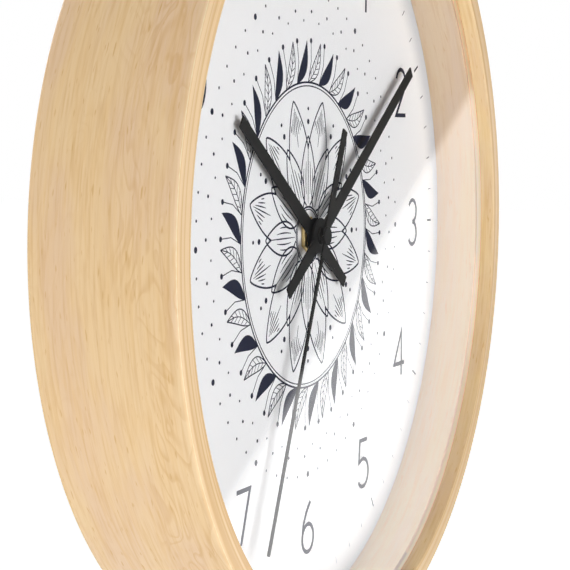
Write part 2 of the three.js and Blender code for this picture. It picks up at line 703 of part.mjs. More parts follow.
// An arbor between the front plate and the bridge, with a thin pivot at each end.
function arbor(centre) {
  return joined(
    rod(ARBOR_RADIUS, caseInside + END_SHAKE, bridgeFront - END_SHAKE, centre),
    rod(PIVOT_RADIUS, caseFront + PIVOT_SETBACK, bridgeBack - PIVOT_SETBACK, centre),
  );
}

function addWheels() {
  const [minutePinion, hourDisc] = meshedPair(
    [TEETH.minutePinion, minuteWheelAxis], [TEETH.hourWheel, AXIS], 0);
  const [cannonPinion, minuteDisc] = meshedPair(
    [TEETH.cannonPinion, AXIS], [TEETH.minuteWheel, minuteWheelAxis], 1);
  const [thirdPinion, centerDisc] = meshedPair(
    [TEETH.thirdPinion, thirdAxis], [TEETH.centerWheel, AXIS], 2);
  const [secondsPinion, thirdDisc] = meshedPair(
    [TEETH.secondsPinion, AXIS], [TEETH.thirdWheel, thirdAxis], 3);
  const [intermediatePinion, secondsDisc] = meshedPair(
    [TEETH.intermediatePinion, intermediateAxis], [TEETH.secondsWheel, AXIS], 4);
  const [rotorPinion, intermediateDisc] = meshedPair(
    [TEETH.rotorPinion, rotorAxis], [TEETH.intermediateWheel, intermediateAxis], 5);

  const hourPipe = rod(hourPipeRadius, hourHandBack - COLLET_HEIGHT - SHAFT_PROUD, layerBack(0));
  const hourBore = rod(hourPipeBore, 0, layerBack(0) + OVERCUT);
  addPiece('hour_wheel', cut(joined(hourPipe, hourDisc), hourBore), WHITE_PLASTIC);

  const minuteTube = rod(minuteShaftRadius, minuteHandBack - COLLET_HEIGHT - SHAFT_PROUD, layerBack(2));
  const collar = rod(minuteShaftRadius + HAND_FIT + LAYER_GAP, layerBack(1), layerFront(2));
  const minuteBore = rod(minuteShaftBore, 0, layerBack(2) + OVERCUT);
  addPiece('minute_shaft', cut(joined(minuteTube, cannonPinion, collar), minuteBore), BRASS);
  const centerBore = rod(minuteShaftRadius + HAND_FIT, layerFront(2) - OVERCUT, layerBack(2) + OVERCUT);
  addPiece('center_wheel', cut(centerDisc, centerBore), WHITE_PLASTIC);

  const secondsArbor = joined(
    rod(SECONDS_ARBOR_RADIUS, secondHandBack - HAND_THICKNESS + PIVOT_SETBACK, bridgeFront - END_SHAKE),
    rod(PIVOT_RADIUS, layerFront(4), bridgeBack - PIVOT_SETBACK),
  );
  addPiece('seconds_wheel', joined(secondsArbor, secondsPinion, secondsDisc), WHITE_PLASTIC);
  addPiece('third_wheel', joined(arbor(thirdAxis), thirdPinion, thirdDisc), WHITE_PLASTIC);
  const intermediate = joined(arbor(intermediateAxis), intermediatePinion, intermediateDisc);
  addPiece('intermediate_wheel', intermediate, WHITE_PLASTIC);
  addPiece('rotor_pinion', joined(arbor(rotorAxis), rotorPinion), WHITE_PLASTIC);

  const settingArbor = joined(
    rod(ARBOR_RADIUS, caseInside + END_SHAKE, knobBack - PIVOT_SETBACK, minuteWheelAxis),
    rod(PIVOT_RADIUS, caseFront + PIVOT_SETBACK, caseInside + WHEEL_THICKNESS, minuteWheelAxis),
  );
  addPiece('minute_wheel', joined(settingArbor, minutePinion, minuteDisc), WHITE_PLASTIC);
  addPiece('setting_knob', settingKnob(), WHITE_PLASTIC);
}

function settingKnob() {
  const outline = Array.from({ length: 2 * KNOB_SERRATIONS }, (_, i) => {
    const radius = i % 2 ? KNOB_RADIUS : KNOB_RADIUS - KNOB_SERRATION_DEPTH;
    const turn = (FULL_TURN * i) / (2 * KNOB_SERRATIONS);
    const [x, z] = minuteWheelAxis;
    return new THREE.Vector2(x + radius * Math.cos(turn), z + radius * Math.sin(turn));
  });
  const boreRadiusOfKnob = ARBOR_RADIUS + HAND_FIT;
  const dishFront = knobBack - KNOB_DISH_DEPTH;
  const dish = ring(KNOB_DISH_RADIUS, KNOB_BOSS_RADIUS, dishFront, knobBack + OVERCUT, minuteWheelAxis);
  const bore = rod(boreRadiusOfKnob, knobFront - OVERCUT, knobBack + OVERCUT, minuteWheelAxis);
  return cut(slab(outline, knobFront, knobBack), dish, bore);
}

// Stepping motor

function addMotor() {
  const pegHole = (place) => rod(PEG_RADIUS + PEG_CLEARANCE, statorFront - OVERCUT, coreBack + OVERCUT, place);
  const strip = (from, to) =>
    slab(bandAround([[from, STATOR_PAD_RADIUS], [to, STATOR_PAD_RADIUS]]), statorFront, statorBack);
  const barEnds = corePegs.map(([x]) => [x, statorBarHeight]);
  const airGapRadius = MAGNET_RADIUS + MAGNET_AIR_GAP;
  const stator = joined(
    strip(...barEnds),
    ...corePegs.map((peg, i) => strip(peg, barEnds[i])),
    rod(airGapRadius + STATOR_BAND, statorFront, statorBack, rotorAxis),
  );
  const rotorHole = rod(airGapRadius, statorFront - OVERCUT, statorBack + OVERCUT, rotorAxis);
  addPiece('stator', cut(stator, rotorHole, ...corePegs.map(pegHole)), STEEL);

  const coreEnds = [statorLeft - STATOR_PAD_RADIUS, statorRight + STATOR_PAD_RADIUS];
  const coreSpan = [coilHeight - CORE_HEIGHT / 2, coilHeight + CORE_HEIGHT / 2];
  const core = block(coreEnds, coreSpan, statorBack, coreBack);
  addPiece('coil_core', cut(core, ...corePegs.map(pegHole)), STEEL);

  const coreDepth = (statorBack + coreBack) / 2;
  const boreOfBobbin = Math.hypot(CORE_HEIGHT, CORE_THICKNESS) / 2 + COIL_GAP;
  const tubeRadius = boreOfBobbin + BOBBIN_WALL;
  const left = statorLeft + STATOR_PAD_RADIUS + PART_GAP;
  const right = statorRight - STATOR_PAD_RADIUS - PART_GAP;
  const bobbin = [
    [boreOfBobbin, left],
    [COIL_RADIUS, left],
    [COIL_RADIUS, left + BOBBIN_FLANGE],
    [tubeRadius, left + BOBBIN_FLANGE],
    [tubeRadius, right - BOBBIN_FLANGE],
    [COIL_RADIUS, right - BOBBIN_FLANGE],
    [COIL_RADIUS, right],
    [boreOfBobbin, right],
  ];
  addPiece('coil_bobbin', turnedAlongX(bobbin, coilHeight, coreDepth), BLACK_PLASTIC);
  const windingEnds = [left + BOBBIN_FLANGE + COIL_GAP, right - BOBBIN_FLANGE - COIL_GAP];
  const windingBore = tubeRadius + COIL_GAP;
  const winding = [
    [windingBore, windingEnds[0]],
    [windingBore + WINDING_DEPTH, windingEnds[0]],
    [windingBore + WINDING_DEPTH, windingEnds[1]],
    [windingBore, windingEnds[1]],
  ];
  addPiece('coil_winding', turnedAlongX(winding, coilHeight, coreDepth), COPPER);

  const magnetFront = statorFront - MAGNET_OVERHANG;
  const magnetBack = statorBack + MAGNET_OVERHANG;
  const magnet = ring(MAGNET_RADIUS, ARBOR_RADIUS + HAND_FIT, magnetFront, magnetBack, rotorAxis);
  addPiece('rotor_magnet', magnet, MAGNET);
}

// Circuit and battery

function addElectrics() {
  const circuitBack = statorFront + CIRCUIT_THICKNESS;
  const card = block(
    [circuitX - CIRCUIT_WIDTH / 2, circuitX + CIRCUIT_WIDTH / 2],
    [CIRCUIT_CENTRE_HEIGHT - CIRCUIT_HEIGHT / 2, CIRCUIT_CENTRE_HEIGHT + CIRCUIT_HEIGHT / 2],
    statorFront,
    circuitBack,
  );
  const pegHoles = circuitPosts.map((place) =>
    rod(PEG_RADIUS + PEG_CLEARANCE, statorFront - OVERCUT, circuitBack + OVERCUT, place));
  addPiece('circuit_board', cut(card, ...pegHoles), CIRCUIT_GREEN);

  const canSides = sidesFor(CRYSTAL_RADIUS);
  const can = new THREE.CylinderGeometry(CRYSTAL_RADIUS, CRYSTAL_RADIUS, CRYSTAL_LENGTH, canSides);
  can.rotateX(Math.PI / 2);
  can.translate(circuitX, yAt(circuitBack + COIL_GAP + CRYSTAL_RADIUS), CIRCUIT_CENTRE_HEIGHT);
  addPiece('quartz_crystal', toSolid(can), STEEL);

  const half = BATTERY_LENGTH / 2;
  const shoulder = half - BATTERY_NUB_LENGTH;
  const battery = [
    [0, -half],
    [batteryRadius - BATTERY_EDGE, -half],
    [batteryRadius, -half + BATTERY_EDGE],
    [batteryRadius, shoulder - BATTERY_EDGE],
    [batteryRadius - BATTERY_EDGE, shoulder],
    [BATTERY_NUB_RADIUS, shoulder],
    [BATTERY_NUB_RADIUS, half],
    [0, half],
  ];
  addPiece('battery', turnedAlongX(battery, batteryHeight, batteryDepth), BATTERY_WRAP);
  addPiece('positive_contact', contactLeaf(1), STEEL);
  addPiece('negative_contact', contactLeaf(-1), STEEL);
}

// A leaf against an end wall of the bay, folded over at its foot so that its tongue presses on the battery.
function contactLeaf(side) {
  const wall = BATTERY_LENGTH / 2 + CONTACT_ROOM - CONTACT_GAP;
  const touch = BATTERY_LENGTH / 2 + CONTACT_GAP;
  const rise = CONTACT_HEIGHT / 2;
  const inner = wall - CONTACT_THICKNESS;
  const outline = [
    [wall, rise],
    [wall, -rise],
    [inner - CONTACT_GAP, -rise],
    [touch, 0],
    [touch + CONTACT_THICKNESS / Math.SQRT2, CONTACT_THICKNESS],
    [inner, -rise + 2 * CONTACT_THICKNESS],
    [inner, rise],
  ];
  const points = outline.map(([x, z]) => new THREE.Vector2(side * x, batteryHeight + z));
  return slab(points, batteryDepth - CONTACT_WIDTH / 2, batteryDepth + CONTACT_WIDTH / 2);
}

addStack();
addTabs();
addHands();
addFixing();
addCase();
addWheels();
addMotor();
addElectrics();

export default clock;
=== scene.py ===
# Looks of a round wall clock with a bentwood frame. Metres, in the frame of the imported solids:
# the clock faces -Y, +Z is up, and the origin is on the axis of the hands, in the plane of the wall.
import json
import math

import bmesh
import bpy
from mathutils import Matrix, Vector


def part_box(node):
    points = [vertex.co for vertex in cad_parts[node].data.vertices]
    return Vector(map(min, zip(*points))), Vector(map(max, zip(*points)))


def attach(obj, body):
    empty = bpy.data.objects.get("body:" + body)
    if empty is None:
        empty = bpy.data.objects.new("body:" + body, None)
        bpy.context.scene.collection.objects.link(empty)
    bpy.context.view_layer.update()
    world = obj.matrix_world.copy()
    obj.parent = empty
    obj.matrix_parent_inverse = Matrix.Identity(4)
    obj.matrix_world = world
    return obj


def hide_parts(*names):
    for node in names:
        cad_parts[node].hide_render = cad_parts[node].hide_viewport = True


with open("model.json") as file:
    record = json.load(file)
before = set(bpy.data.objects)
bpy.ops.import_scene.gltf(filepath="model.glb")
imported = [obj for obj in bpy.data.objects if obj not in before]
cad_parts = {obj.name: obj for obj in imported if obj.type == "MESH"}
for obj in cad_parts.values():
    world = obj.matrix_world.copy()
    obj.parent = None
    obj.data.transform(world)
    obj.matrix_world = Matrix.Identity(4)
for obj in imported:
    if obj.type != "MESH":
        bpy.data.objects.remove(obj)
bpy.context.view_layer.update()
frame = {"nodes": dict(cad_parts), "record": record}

MM = 0.001
FULL_TURN = 2 * math.pi

# Camera, fitted to the outlines of the frame
IMAGE_PIXELS = 570
FOCAL_PIXELS = 1719.6
SENSOR_WIDTH = 36.0
CLIP_START = 10 * MM
CAMERA_AZIMUTH = -65.25
CAMERA_ELEVATION = 4.97
CAMERA_DISTANCE = 469.7 * MM
CAMERA_TARGET = Vector((-65.47, -43.24, -9.52)) * MM

# Frame section
FRAME_WALL = 5.5 * MM
LIP_REACH = 2 * MM
LIP_ROUND = 0.6 * MM
FRONT_ROUND = 1.2 * MM
REAR_ROUND = 1 * MM
SMALL_ROUND = 0.2 * MM
RING_SEGMENTS = 256

# Hands. A blade's radii from the axis and widths are in millimetres
HOUR_BLADE = {
    "tip": 62.6, "tip_width": 4.1, "root_width": 5, "tail_root": 5, "tail": 29, "tail_width": 3.7,
}
MINUTE_BLADE = {
    "tip": 95.5, "tip_width": 3.7, "root_width": 4.8, "tail_root": 4.8, "tail": 29, "tail_width": 3.7,
}
SECOND_BLADE = {
    "tip": 101.2, "tip_width": 1.4, "root_width": 1.6, "tail_root": 3.4, "tail": 36, "tail_width": 3.2,
}
HAND_THICKNESS = 0.5 * MM
HAND_EDGE = 0.07 * MM
HUB_RADIUS = 5.6 * MM
COLLET_WALL = 1.1 * MM
COLLET_ROUND = 0.15 * MM
BORE_ROUND = 0.05 * MM
HAND_FIT = 0.05 * MM
HAND_SMOOTH = 20
SECOND_HUB_RADIUS = 2.2 * MM
SECOND_BOSS_RADIUS = 3 * MM
SECOND_BOSS_ROUND = 0.3 * MM

# Print on the dial
INK_PROUD = 0.03 * MM
NUMERAL_RADIUS = 92.5 * MM
NUMERAL_HEIGHT = 16 * MM
NUMERAL_STROKE = 1.4 * MM
NUMERAL_GAP = 2.6 * MM

scene = bpy.context.scene


# Places on the dial

def on_dial(radius, turn):
    """The point at a radius and at a turn clockwise from the top, as x and z."""
    return Vector((radius * math.sin(turn), radius * math.cos(turn)))


def node_depths(node):
    """The lowest and highest y of a node: its front and its back."""
    low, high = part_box(node)
    return low.y, high.y


frame_low, frame_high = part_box("frame_ring")
frame_radius = frame_high.x
frame_front, frame_back = frame_low.y, frame_high.y
bore_radius = frame_radius - FRAME_WALL
lip_radius = bore_radius - LIP_REACH
lens_front, lens_back = node_depths("lens")
dial_front = node_depths("dial")[0]
seat_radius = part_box("lens")[1].z


# Mesh building

EDGE_SUPPORT = 0.2
NEARLY_STRAIGHT = math.radians(89)
PLATE_EDGE_ANGLE = math.radians(35)
AXIS_MERGE = 1e-8


def rounded(corners, steps=6):
    """The points of a closed outline whose corners are (x, y, radius of the round).

    A point just beside each round keeps the flats flat in their shading.
    """
    points = []
    count = len(corners)
    for i, (x, y, radius) in enumerate(corners):
        here = Vector((x, y))
        before = (Vector(corners[i - 1][:2]) - here).normalized()
        after = (Vector(corners[(i + 1) % count][:2]) - here).normalized()
        half = before.angle(after) / 2
        if radius <= 0 or half > NEARLY_STRAIGHT:
            points.append(here)
            continue
        start = here + before * (radius / math.tan(half))
        end = here + after * (radius / math.tan(half))
        centre = here + (before + after).normalized() * (radius / math.sin(half))
        first, last = start - centre, end - centre
        sweep = math.pi - 2 * half
        points.append(start + before * radius * EDGE_SUPPORT)
        for k in range(steps + 1):
            share = k / steps
            blend = (first * math.sin((1 - share) * sweep) + last * math.sin(share * sweep)) / math.sin(sweep)
            points.append(centre + blend)
        points.append(end + after * radius * EDGE_SUPPORT)
    return points


def add_lathe(bm, profile, centre=(0, 0), segments=RING_SEGMENTS):
    """A body turned about an axis along y. The profile is a closed outline of (radius, y)."""
    rings = []
    for i in range(segments):
        turn = FULL_TURN * i / segments
        sine, cosine = math.sin(turn), math.cos(turn)
        rings.append([bm.verts.new((centre[0] + r * sine, y, centre[1] + r * cosine)) for r, y in profile])
    for i, ring in enumerate(rings):
        after = rings[(i + 1) % segments]
        for k in range(len(profile)):
            m = (k + 1) % len(profile)
            if profile[k][0] > 0 or profile[m][0] > 0:
                bm.faces.new((ring[k], ring[m], after[m], after[k]))
    axis = [v for ring in rings for v, (r, _) in zip(ring, profile) if r == 0]
    if axis:
        bmesh.ops.remove_doubles(bm, verts=axis, dist=AXIS_MERGE)


def circle(radius, centre=(0, 0), segments=64):
    return [Vector(centre) + on_dial(radius, FULL_TURN * i / segments) for i in range(segments)]


def add_plate(bm, outlines, front, back, edge=0.0, edge_steps=2):
    """A flat plate across the axis. The first outline is its rim, and the others are holes in it."""
    start = len(bm.faces)
    loops = []
    for outline in outlines:
        verts = [bm.verts.new((p.x, front, p.y)) for p in outline]
        loops += [bm.edges.new((a, b)) for a, b in zip(verts, verts[1:] + verts[:1])]
    filled = bmesh.ops.triangle_fill(bm, use_beauty=True, use_dissolve=False, edges=loops)
    faces = [g for g in filled["geom"] if isinstance(g, bmesh.types.BMFace)]
    raised = bmesh.ops.extrude_face_region(bm, geom=faces, use_keep_orig=True)["geom"]
    verts = [g for g in raised if isinstance(g, bmesh.types.BMVert)]
    bmesh.ops.translate(bm, verts=verts, vec=(0, back - front, 0))
    bm.faces.ensure_lookup_table()
    made = bm.faces[start:]
    bmesh.ops.recalc_face_normals(bm, faces=made)
    if edge:
        edges = dict.fromkeys(e for f in made for e in f.edges if e.is_manifold)
        sharp = [e for e in edges if e.calc_face_angle() > PLATE_EDGE_ANGLE]
        bmesh.ops.bevel(bm, geom=sharp, offset=edge, segments=edge_steps, profile=0.5,
                        affect="EDGES", clamp_overlap=True)


def add_piece(name, bm, material, body, replaces=(), smooth_angle=30):
    """Turns a bmesh into a piece that rides on a body, and hides the solids that it stands for."""
    bmesh.ops.recalc_face_normals(bm, faces=bm.faces)
    mesh = bpy.data.meshes.new(name)
    bm.to_mesh(mesh)
    bm.free()
    mesh.materials.append(material)
    mesh.polygons.foreach_set("use_smooth", [True] * len(mesh.polygons))
    mesh.set_sharp_from_angle(angle=math.radians(smooth_angle))
    piece = bpy.data.objects.new(name, mesh)
    scene.collection.objects.link(piece)
    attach(piece, body)
    if replaces:
        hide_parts(*replaces)
    return piece


# Shader building

def new_material(name, color, roughness, metallic=0.0):
    """A material with a Principled shader whose even values are set on its own sockets."""
    material = bpy.data.materials.new(name)
    material.use_nodes = True
    shader = material.node_tree.nodes["Principled BSDF"]
    shader.inputs["Base Color"].default_value = (*color, 1)
    shader.inputs["Roughness"].default_value = roughness
    shader.inputs["Metallic"].default_value = metallic
    return material, material.node_tree, shader


def bare_material(name):
    """A material whose shader is still to be built, and its tree."""
    material = bpy.data.materials.new(name)
    material.use_nodes = True
    tree = material.node_tree
    tree.nodes.remove(tree.nodes["Principled BSDF"])
    return material, tree


def show(tree, shader):
    tree.links.new(shader.outputs[0], tree.nodes["Material Output"].inputs["Surface"])


def feed(tree, socket, value):
    """Links a socket to another one, or gives it an even value."""
    if isinstance(value, bpy.types.NodeSocket):
        tree.links.new(value, socket)
    elif socket.type == "RGBA" and len(value) == 3:
        socket.default_value = (*value, 1)
    else:
        socket.default_value = value


def add_node(tree, kind, inputs=None, **settings):
    node = tree.nodes.new("ShaderNode" + kind)
    for name, value in settings.items():
        setattr(node, name, value)
    for name, value in (inputs or {}).items():
        feed(tree, node.inputs[name], value)
    return node


def calc(tree, operation, first, second=0.0, clamp=False):
    node = add_node(tree, "Math", {0: first, 1: second}, operation=operation, use_clamp=clamp)
    return node.outputs[0]


def mixed(tree, factor, first, second, mode="MIX"):
    """Two colours mixed by a factor."""
    node = add_node(tree, "Mix", {0: factor, 6: first, 7: second}, data_type="RGBA", blend_type=mode)
    return node.outputs[2]


def spread(tree, value, low, high, to_low=0.0, to_high=1.0):
    """A value moved from one range to another, with smooth ends."""
    inputs = {0: value, 1: low, 2: high, 3: to_low, 4: to_high}
    return add_node(tree, "MapRange", inputs, interpolation_type="SMOOTHSTEP").outputs[0]


def toned(tree, color, tone, field, window, share=1.0):
    """A colour that goes over to a tone, up to a share of it, as a field crosses a window."""
    return mixed(tree, spread(tree, field, *window, 0, share), color, tone)


def object_place(tree):
    return add_node(tree, "TexCoord").outputs["Object"]


def ring_place(tree):
    """The place on a ring: metres round it from the top, metres along its axis, and radius."""
    x, y, z = add_node(tree, "SeparateXYZ", {0: object_place(tree)}).outputs
    turn = calc(tree, "ARCTAN2", x, z)
    around = calc(tree, "MULTIPLY", turn, frame_radius)
    squares = calc(tree, "ADD", calc(tree, "MULTIPLY", x, x), calc(tree, "MULTIPLY", z, z))
    radius = calc(tree, "SQRT", squares)
    return add_node(tree, "CombineXYZ", {0: around, 1: y, 2: radius}).outputs[0]


def noise(tree, place, scales, detail=2.0, distortion=0.0, roughness=0.5):
    """Noise at a place, with a scale per metre for each direction."""
    scaled = add_node(tree, "VectorMath", {0: place, 1: scales}, operation="MULTIPLY").outputs[0]
    inputs = {"Vector": scaled, "Scale": 1.0, "Detail": detail}
    inputs |= {"Roughness": roughness, "Distortion": distortion}
    return add_node(tree, "TexNoise", inputs).outputs["Fac"]


def add_bump(tree, shader, height, strength, distance):
    bump = add_node(tree, "Bump", {"Strength": strength, "Distance": distance, "Height": height})
    tree.links.new(bump.outputs["Normal"], shader.inputs["Normal"])


# Materials

# Maple: its tones, then the layers of its grain. Scales are per metre round the ring, along its axis and out
MAPLE_PALE = (0.95, 0.685, 0.385)
MAPLE_WARM = (0.9, 0.595, 0.265)
MAPLE_PINK = (0.91, 0.645, 0.405)
MAPLE_LINE = (0.73, 0.405, 0.135)
BAND_SCALES = (20, 75, 75)
BAND_WINDOW = (0.4, 0.62)
STREAK_SCALES = (32, 300, 300)
STREAK_WINDOW = (0.42, 0.7)
STREAK_SHARE = 0.42
THREAD_SCALES = (52, 850, 850)
THREAD_WINDOW = (0.48, 0.72)
THREAD_SHARE = 0.3
FIBRE_SCALES = (60, 1500, 1500)
FIBRE_WINDOW = (0.45, 0.75)
FIBRE_SHARE = 0.24
FIBRE_BUMP = 0.12
FIBRE_RELIEF = 0.15 * MM
FLECK_SCALES = (190, 1300, 1000)
FLECK_WINDOW = (0.66, 0.76)
FLECK_SHARE = 0.6

# Wavy figure of the maple, which shows on the outside towards the front
FIGURE_SCALES = (34, 110, 110)
FIGURE_LINES = 9.0
FIGURE_START, FIGURE_PEAK = 0.4, 0.85
FIGURE_PATCHES = (14, 46, 46)
FIGURE_PATCH_WINDOW = (0.32, 0.5)
FIGURE_SHARE = 0.36
FIGURE_REAR_SHARE = FIGURE_SHARE / 5
FIGURE_DEPTH = 22 * MM
FIGURE_SKIN = 2 * MM

# Varnish, and how the liner differs from the frame
VARNISH_WEIGHT = 0.6
VARNISH_ROUGHNESS = 0.1
SATIN_WINDOW = (0.3, 0.8)
SATIN_ROUGHNESS = (0.24, 0.36)
LINER_SHIFT = (0.31, 0.07, 0.013)
LINER_TINT = (0.81, 0.885, 1.11)
LINER_CALM = 0.35

# Front edge and lip of the frame: ply lines, and painted light, shade and highlight
PLY_SCALES = (4, 0, 700)
PLY_WINDOW = (0.43, 0.58)
PLY_INNER_SHARE, PLY_OUTER_SHARE = 0.5, 0.4
PLY_FADE = 0.5 * MM
# Painted light and shade on the front edge: paler up on the left, tan low on the right
FRONT_LIGHT_PALE = (0.98, 0.73, 0.45)
FRONT_SHADE_TAN = (0.8, 0.565, 0.3)
FRONT_LIGHT_SHARE = 0.8
SHADE_WINDOW = (110 * MM, 180 * MM)
# Painted light on the side of the frame just behind its outer corner
CORNER_LIGHT_PALE = (1.0, 0.77, 0.48)
CORNER_LIGHT_SHARE = 0.25
CORNER_LIGHT_REACH = 2.6 * MM
# Painted highlight along the frame's outer front corner
CORNER_HIGHLIGHT_PALE = (1.0, 0.9, 0.62)
CORNER_HIGHLIGHT_SHARE = 0.75
HIGHLIGHT_FROM, HIGHLIGHT_TO = 0.586 * FRONT_ROUND, 0.62 * FRONT_ROUND
# Painted shade on the inner face of the lip, darker low on the right
LIP_SHADE = (0.92, 0.94, 0.9)
LIP_LOW_SHADE = (0.84, 0.84, 0.82)


def figure_share(tree, ring, here):
    """How much of the wavy figure shows at a place of the grain: lines of equal height on soft hills."""
    hills = noise(tree, here, FIGURE_SCALES, detail=2, distortion=0.6)
    growth = calc(tree, "FRACT", calc(tree, "MULTIPLY", hills, FIGURE_LINES))
    rise = spread(tree, growth, FIGURE_START, FIGURE_PEAK)
    fall = spread(tree, growth, FIGURE_PEAK, 1.0, 1, 0)
    _, depth, radius = add_node(tree, "SeparateXYZ", {0: ring}).outputs
    middle, last = frame_front + FIGURE_DEPTH / 2, frame_front + FIGURE_DEPTH
    forward = spread(tree, depth, middle, last, FIGURE_SHARE, FIGURE_REAR_SHARE)
    outside = spread(tree, radius, frame_radius - FIGURE_SKIN, frame_radius - FIGURE_SKIN / 2)
    near = spread(tree, noise(tree, here, FIGURE_PATCHES, detail=1), *FIGURE_PATCH_WINDOW)
    near = calc(tree, "MULTIPLY", near, calc(tree, "MULTIPLY", forward, outside))
    return calc(tree, "MULTIPLY", calc(tree, "MULTIPLY", rise, fall), near)


def maple(name, shift=(0, 0, 0), tint=(1, 1, 1), calm=0.0):
    """Varnished maple, whose grain runs round the ring and is fainter the calmer it is.

    Gives its parts, for more to be painted on it.
    """
    pale, warm, pink, line = (
        tuple((c + (p - c) * calm) * t for c, p, t in zip(color, MAPLE_PALE, tint))
        for color in (MAPLE_PALE, MAPLE_WARM, MAPLE_PINK, MAPLE_LINE)
    )
    material, tree, shader = new_material(name, pale, 0.4)
    shader.inputs["Specular IOR Level"].default_value = 0.0
    shader.inputs["Coat Weight"].default_value = VARNISH_WEIGHT
    shader.inputs["Coat Roughness"].default_value = VARNISH_ROUGHNESS
    ring = ring_place(tree)
    here = add_node(tree, "VectorMath", {0: ring, 1: shift}, operation="ADD").outputs[0]
    bands = noise(tree, here, BAND_SCALES, detail=2)
    color = toned(tree, pale, pink, bands, BAND_WINDOW)
    streaks = noise(tree, here, STREAK_SCALES, detail=3, distortion=0.4, roughness=0.65)
    color = toned(tree, color, warm, streaks, STREAK_WINDOW, STREAK_SHARE)
    threads = noise(tree, here, THREAD_SCALES, detail=2, distortion=0.5)
    color = toned(tree, color, line, threads, THREAD_WINDOW, THREAD_SHARE)
    color = mixed(tree, figure_share(tree, ring, here), color, line)
    fibre = noise(tree, here, FIBRE_SCALES, detail=3, roughness=0.6)
    color = toned(tree, color, line, fibre, FIBRE_WINDOW, FIBRE_SHARE)
    fleck = noise(tree, here, FLECK_SCALES, detail=1)
    color = toned(tree, color, line, fleck, FLECK_WINDOW, FLECK_SHARE)
    tree.links.new(color, shader.inputs["Base Color"])
    satin = spread(tree, fibre, *SATIN_WINDOW, *SATIN_ROUGHNESS)
    tree.links.new(satin, shader.inputs["Roughness"])
    add_bump(tree, shader, fibre, FIBRE_BUMP, FIBRE_RELIEF)
    return material, tree, shader, ring, color


def frame_maple():
    """The frame's maple: plies show as uneven rings on its front edge; its outer corner has a painted
    highlight, and the side just behind it painted light.

    The front edge has painted light and shade, paler up on the left and tan low on the right, and the lip
    painted shade that is darker low on the right.
    """
    material, tree, shader, ring, color = maple("maple_frame")
    _, depth, radius = add_node(tree, "SeparateXYZ", {0: ring}).outputs
    x, _, z = add_node(tree, "SeparateXYZ", {0: object_place(tree)}).outputs
    # painted light and shade: lighter up on the left, darker low on the right, on the front edge and the lip
    lower_right_shade = spread(tree, calc(tree, "SUBTRACT", x, z), *SHADE_WINDOW)
    from_corner = calc(tree, "SUBTRACT", calc(tree, "ADD", depth, frame_radius - frame_front), radius)
    # painted light on the side just behind the outer corner
    corner_light = spread(tree, from_corner, FRONT_ROUND, CORNER_LIGHT_REACH, CORNER_LIGHT_SHARE, 0)
    color = mixed(tree, corner_light, color, CORNER_LIGHT_PALE)
    on_front = spread(tree, depth, frame_front + PLY_FADE / 5, frame_front + PLY_FADE, 1, 0)
    front_light_and_shade = mixed(tree, lower_right_shade, FRONT_LIGHT_PALE, FRONT_SHADE_TAN)
    color = mixed(tree, calc(tree, "MULTIPLY", on_front, FRONT_LIGHT_SHARE), color, front_light_and_shade)
    plies = spread(tree, noise(tree, ring, PLY_SCALES, detail=1.5), *PLY_WINDOW)
    ply_share = spread(tree, radius, lip_radius, frame_radius, PLY_INNER_SHARE, PLY_OUTER_SHARE)
    lines = calc(tree, "MULTIPLY", plies, calc(tree, "MULTIPLY", on_front, ply_share))
    color = mixed(tree, lines, color, MAPLE_LINE)
    # painted highlight on the outer corner
    corner_highlight = spread(tree, from_corner, HIGHLIGHT_FROM, HIGHLIGHT_TO, CORNER_HIGHLIGHT_SHARE, 0)
    color = mixed(tree, corner_highlight, color, CORNER_HIGHLIGHT_PALE)
    # painted shade on the inner face of the lip
    inside = spread(tree, radius, lip_radius + PLY_FADE / 5, lip_radius + PLY_FADE, 1, 0)
    lip_shade = mixed(tree, lower_right_shade, LIP_SHADE, LIP_LOW_SHADE)
    color = mixed(tree, inside, color, lip_shade, "MULTIPLY")
    tree.links.new(color, shader.inputs["Base Color"])
    return material


SPECKLE_WINDOW = (0.35, 0.75)
FINE_RELIEF = 0.1 * MM
CARD_WHITE = (0.905, 0.912, 0.93)
CARD_TOOTH = (0.875, 0.882, 0.9)
CARD_ROUGHNESS, CARD_GLOSS = 0.75, 0.3
CARD_SCALES = (700, 700, 700)
CARD_TOOTH_SHARE = 0.5
CARD_BUMP = 0.02
# Painted shade on the dial where it meets the liner
CARD_RIM_SHADE = (0.62, 0.645, 0.685)
CARD_RIM_SHADE_FADE = 13 * MM


def dial_card():
    """White card with a fine tooth, and painted shade that greys it where it meets the liner."""
    material, tree, shader = new_material("dial_card", CARD_WHITE, CARD_ROUGHNESS)
    shader.inputs["Specular IOR Level"].default_value = CARD_GLOSS
    grain = noise(tree, object_place(tree), CARD_SCALES, detail=3, roughness=0.6)
    tone = toned(tree, CARD_WHITE, CARD_TOOTH, grain, SPECKLE_WINDOW, CARD_TOOTH_SHARE)
    radius = add_node(tree, "SeparateXYZ", {0: ring_place(tree)}).outputs[2]
    # painted shade towards the liner
    rim = spread(tree, radius, lip_radius - CARD_RIM_SHADE_FADE, lip_radius)
    tree.links.new(mixed(tree, rim, tone, CARD_RIM_SHADE, "MULTIPLY"), shader.inputs["Base Color"])
    add_bump(tree, shader, grain, CARD_BUMP, FINE_RELIEF)
    return material


def speckled(name, color, dark, roughness, scale, bump=0.0, share=0.5, gloss=0.5):
    """An even finish with a fine speckle in its colour and its surface."""
    material, tree, shader = new_material(name, color, roughness)
    shader.inputs["Specular IOR Level"].default_value = gloss
    grain = noise(tree, object_place(tree), (scale, scale, scale), detail=3, roughness=0.6)
    tone = toned(tree, color, dark, grain, SPECKLE_WINDOW, share)
    tree.links.new(tone, shader.inputs["Base Color"])
    if bump:
        add_bump(tree, shader, grain, bump, FINE_RELIEF)
    return material


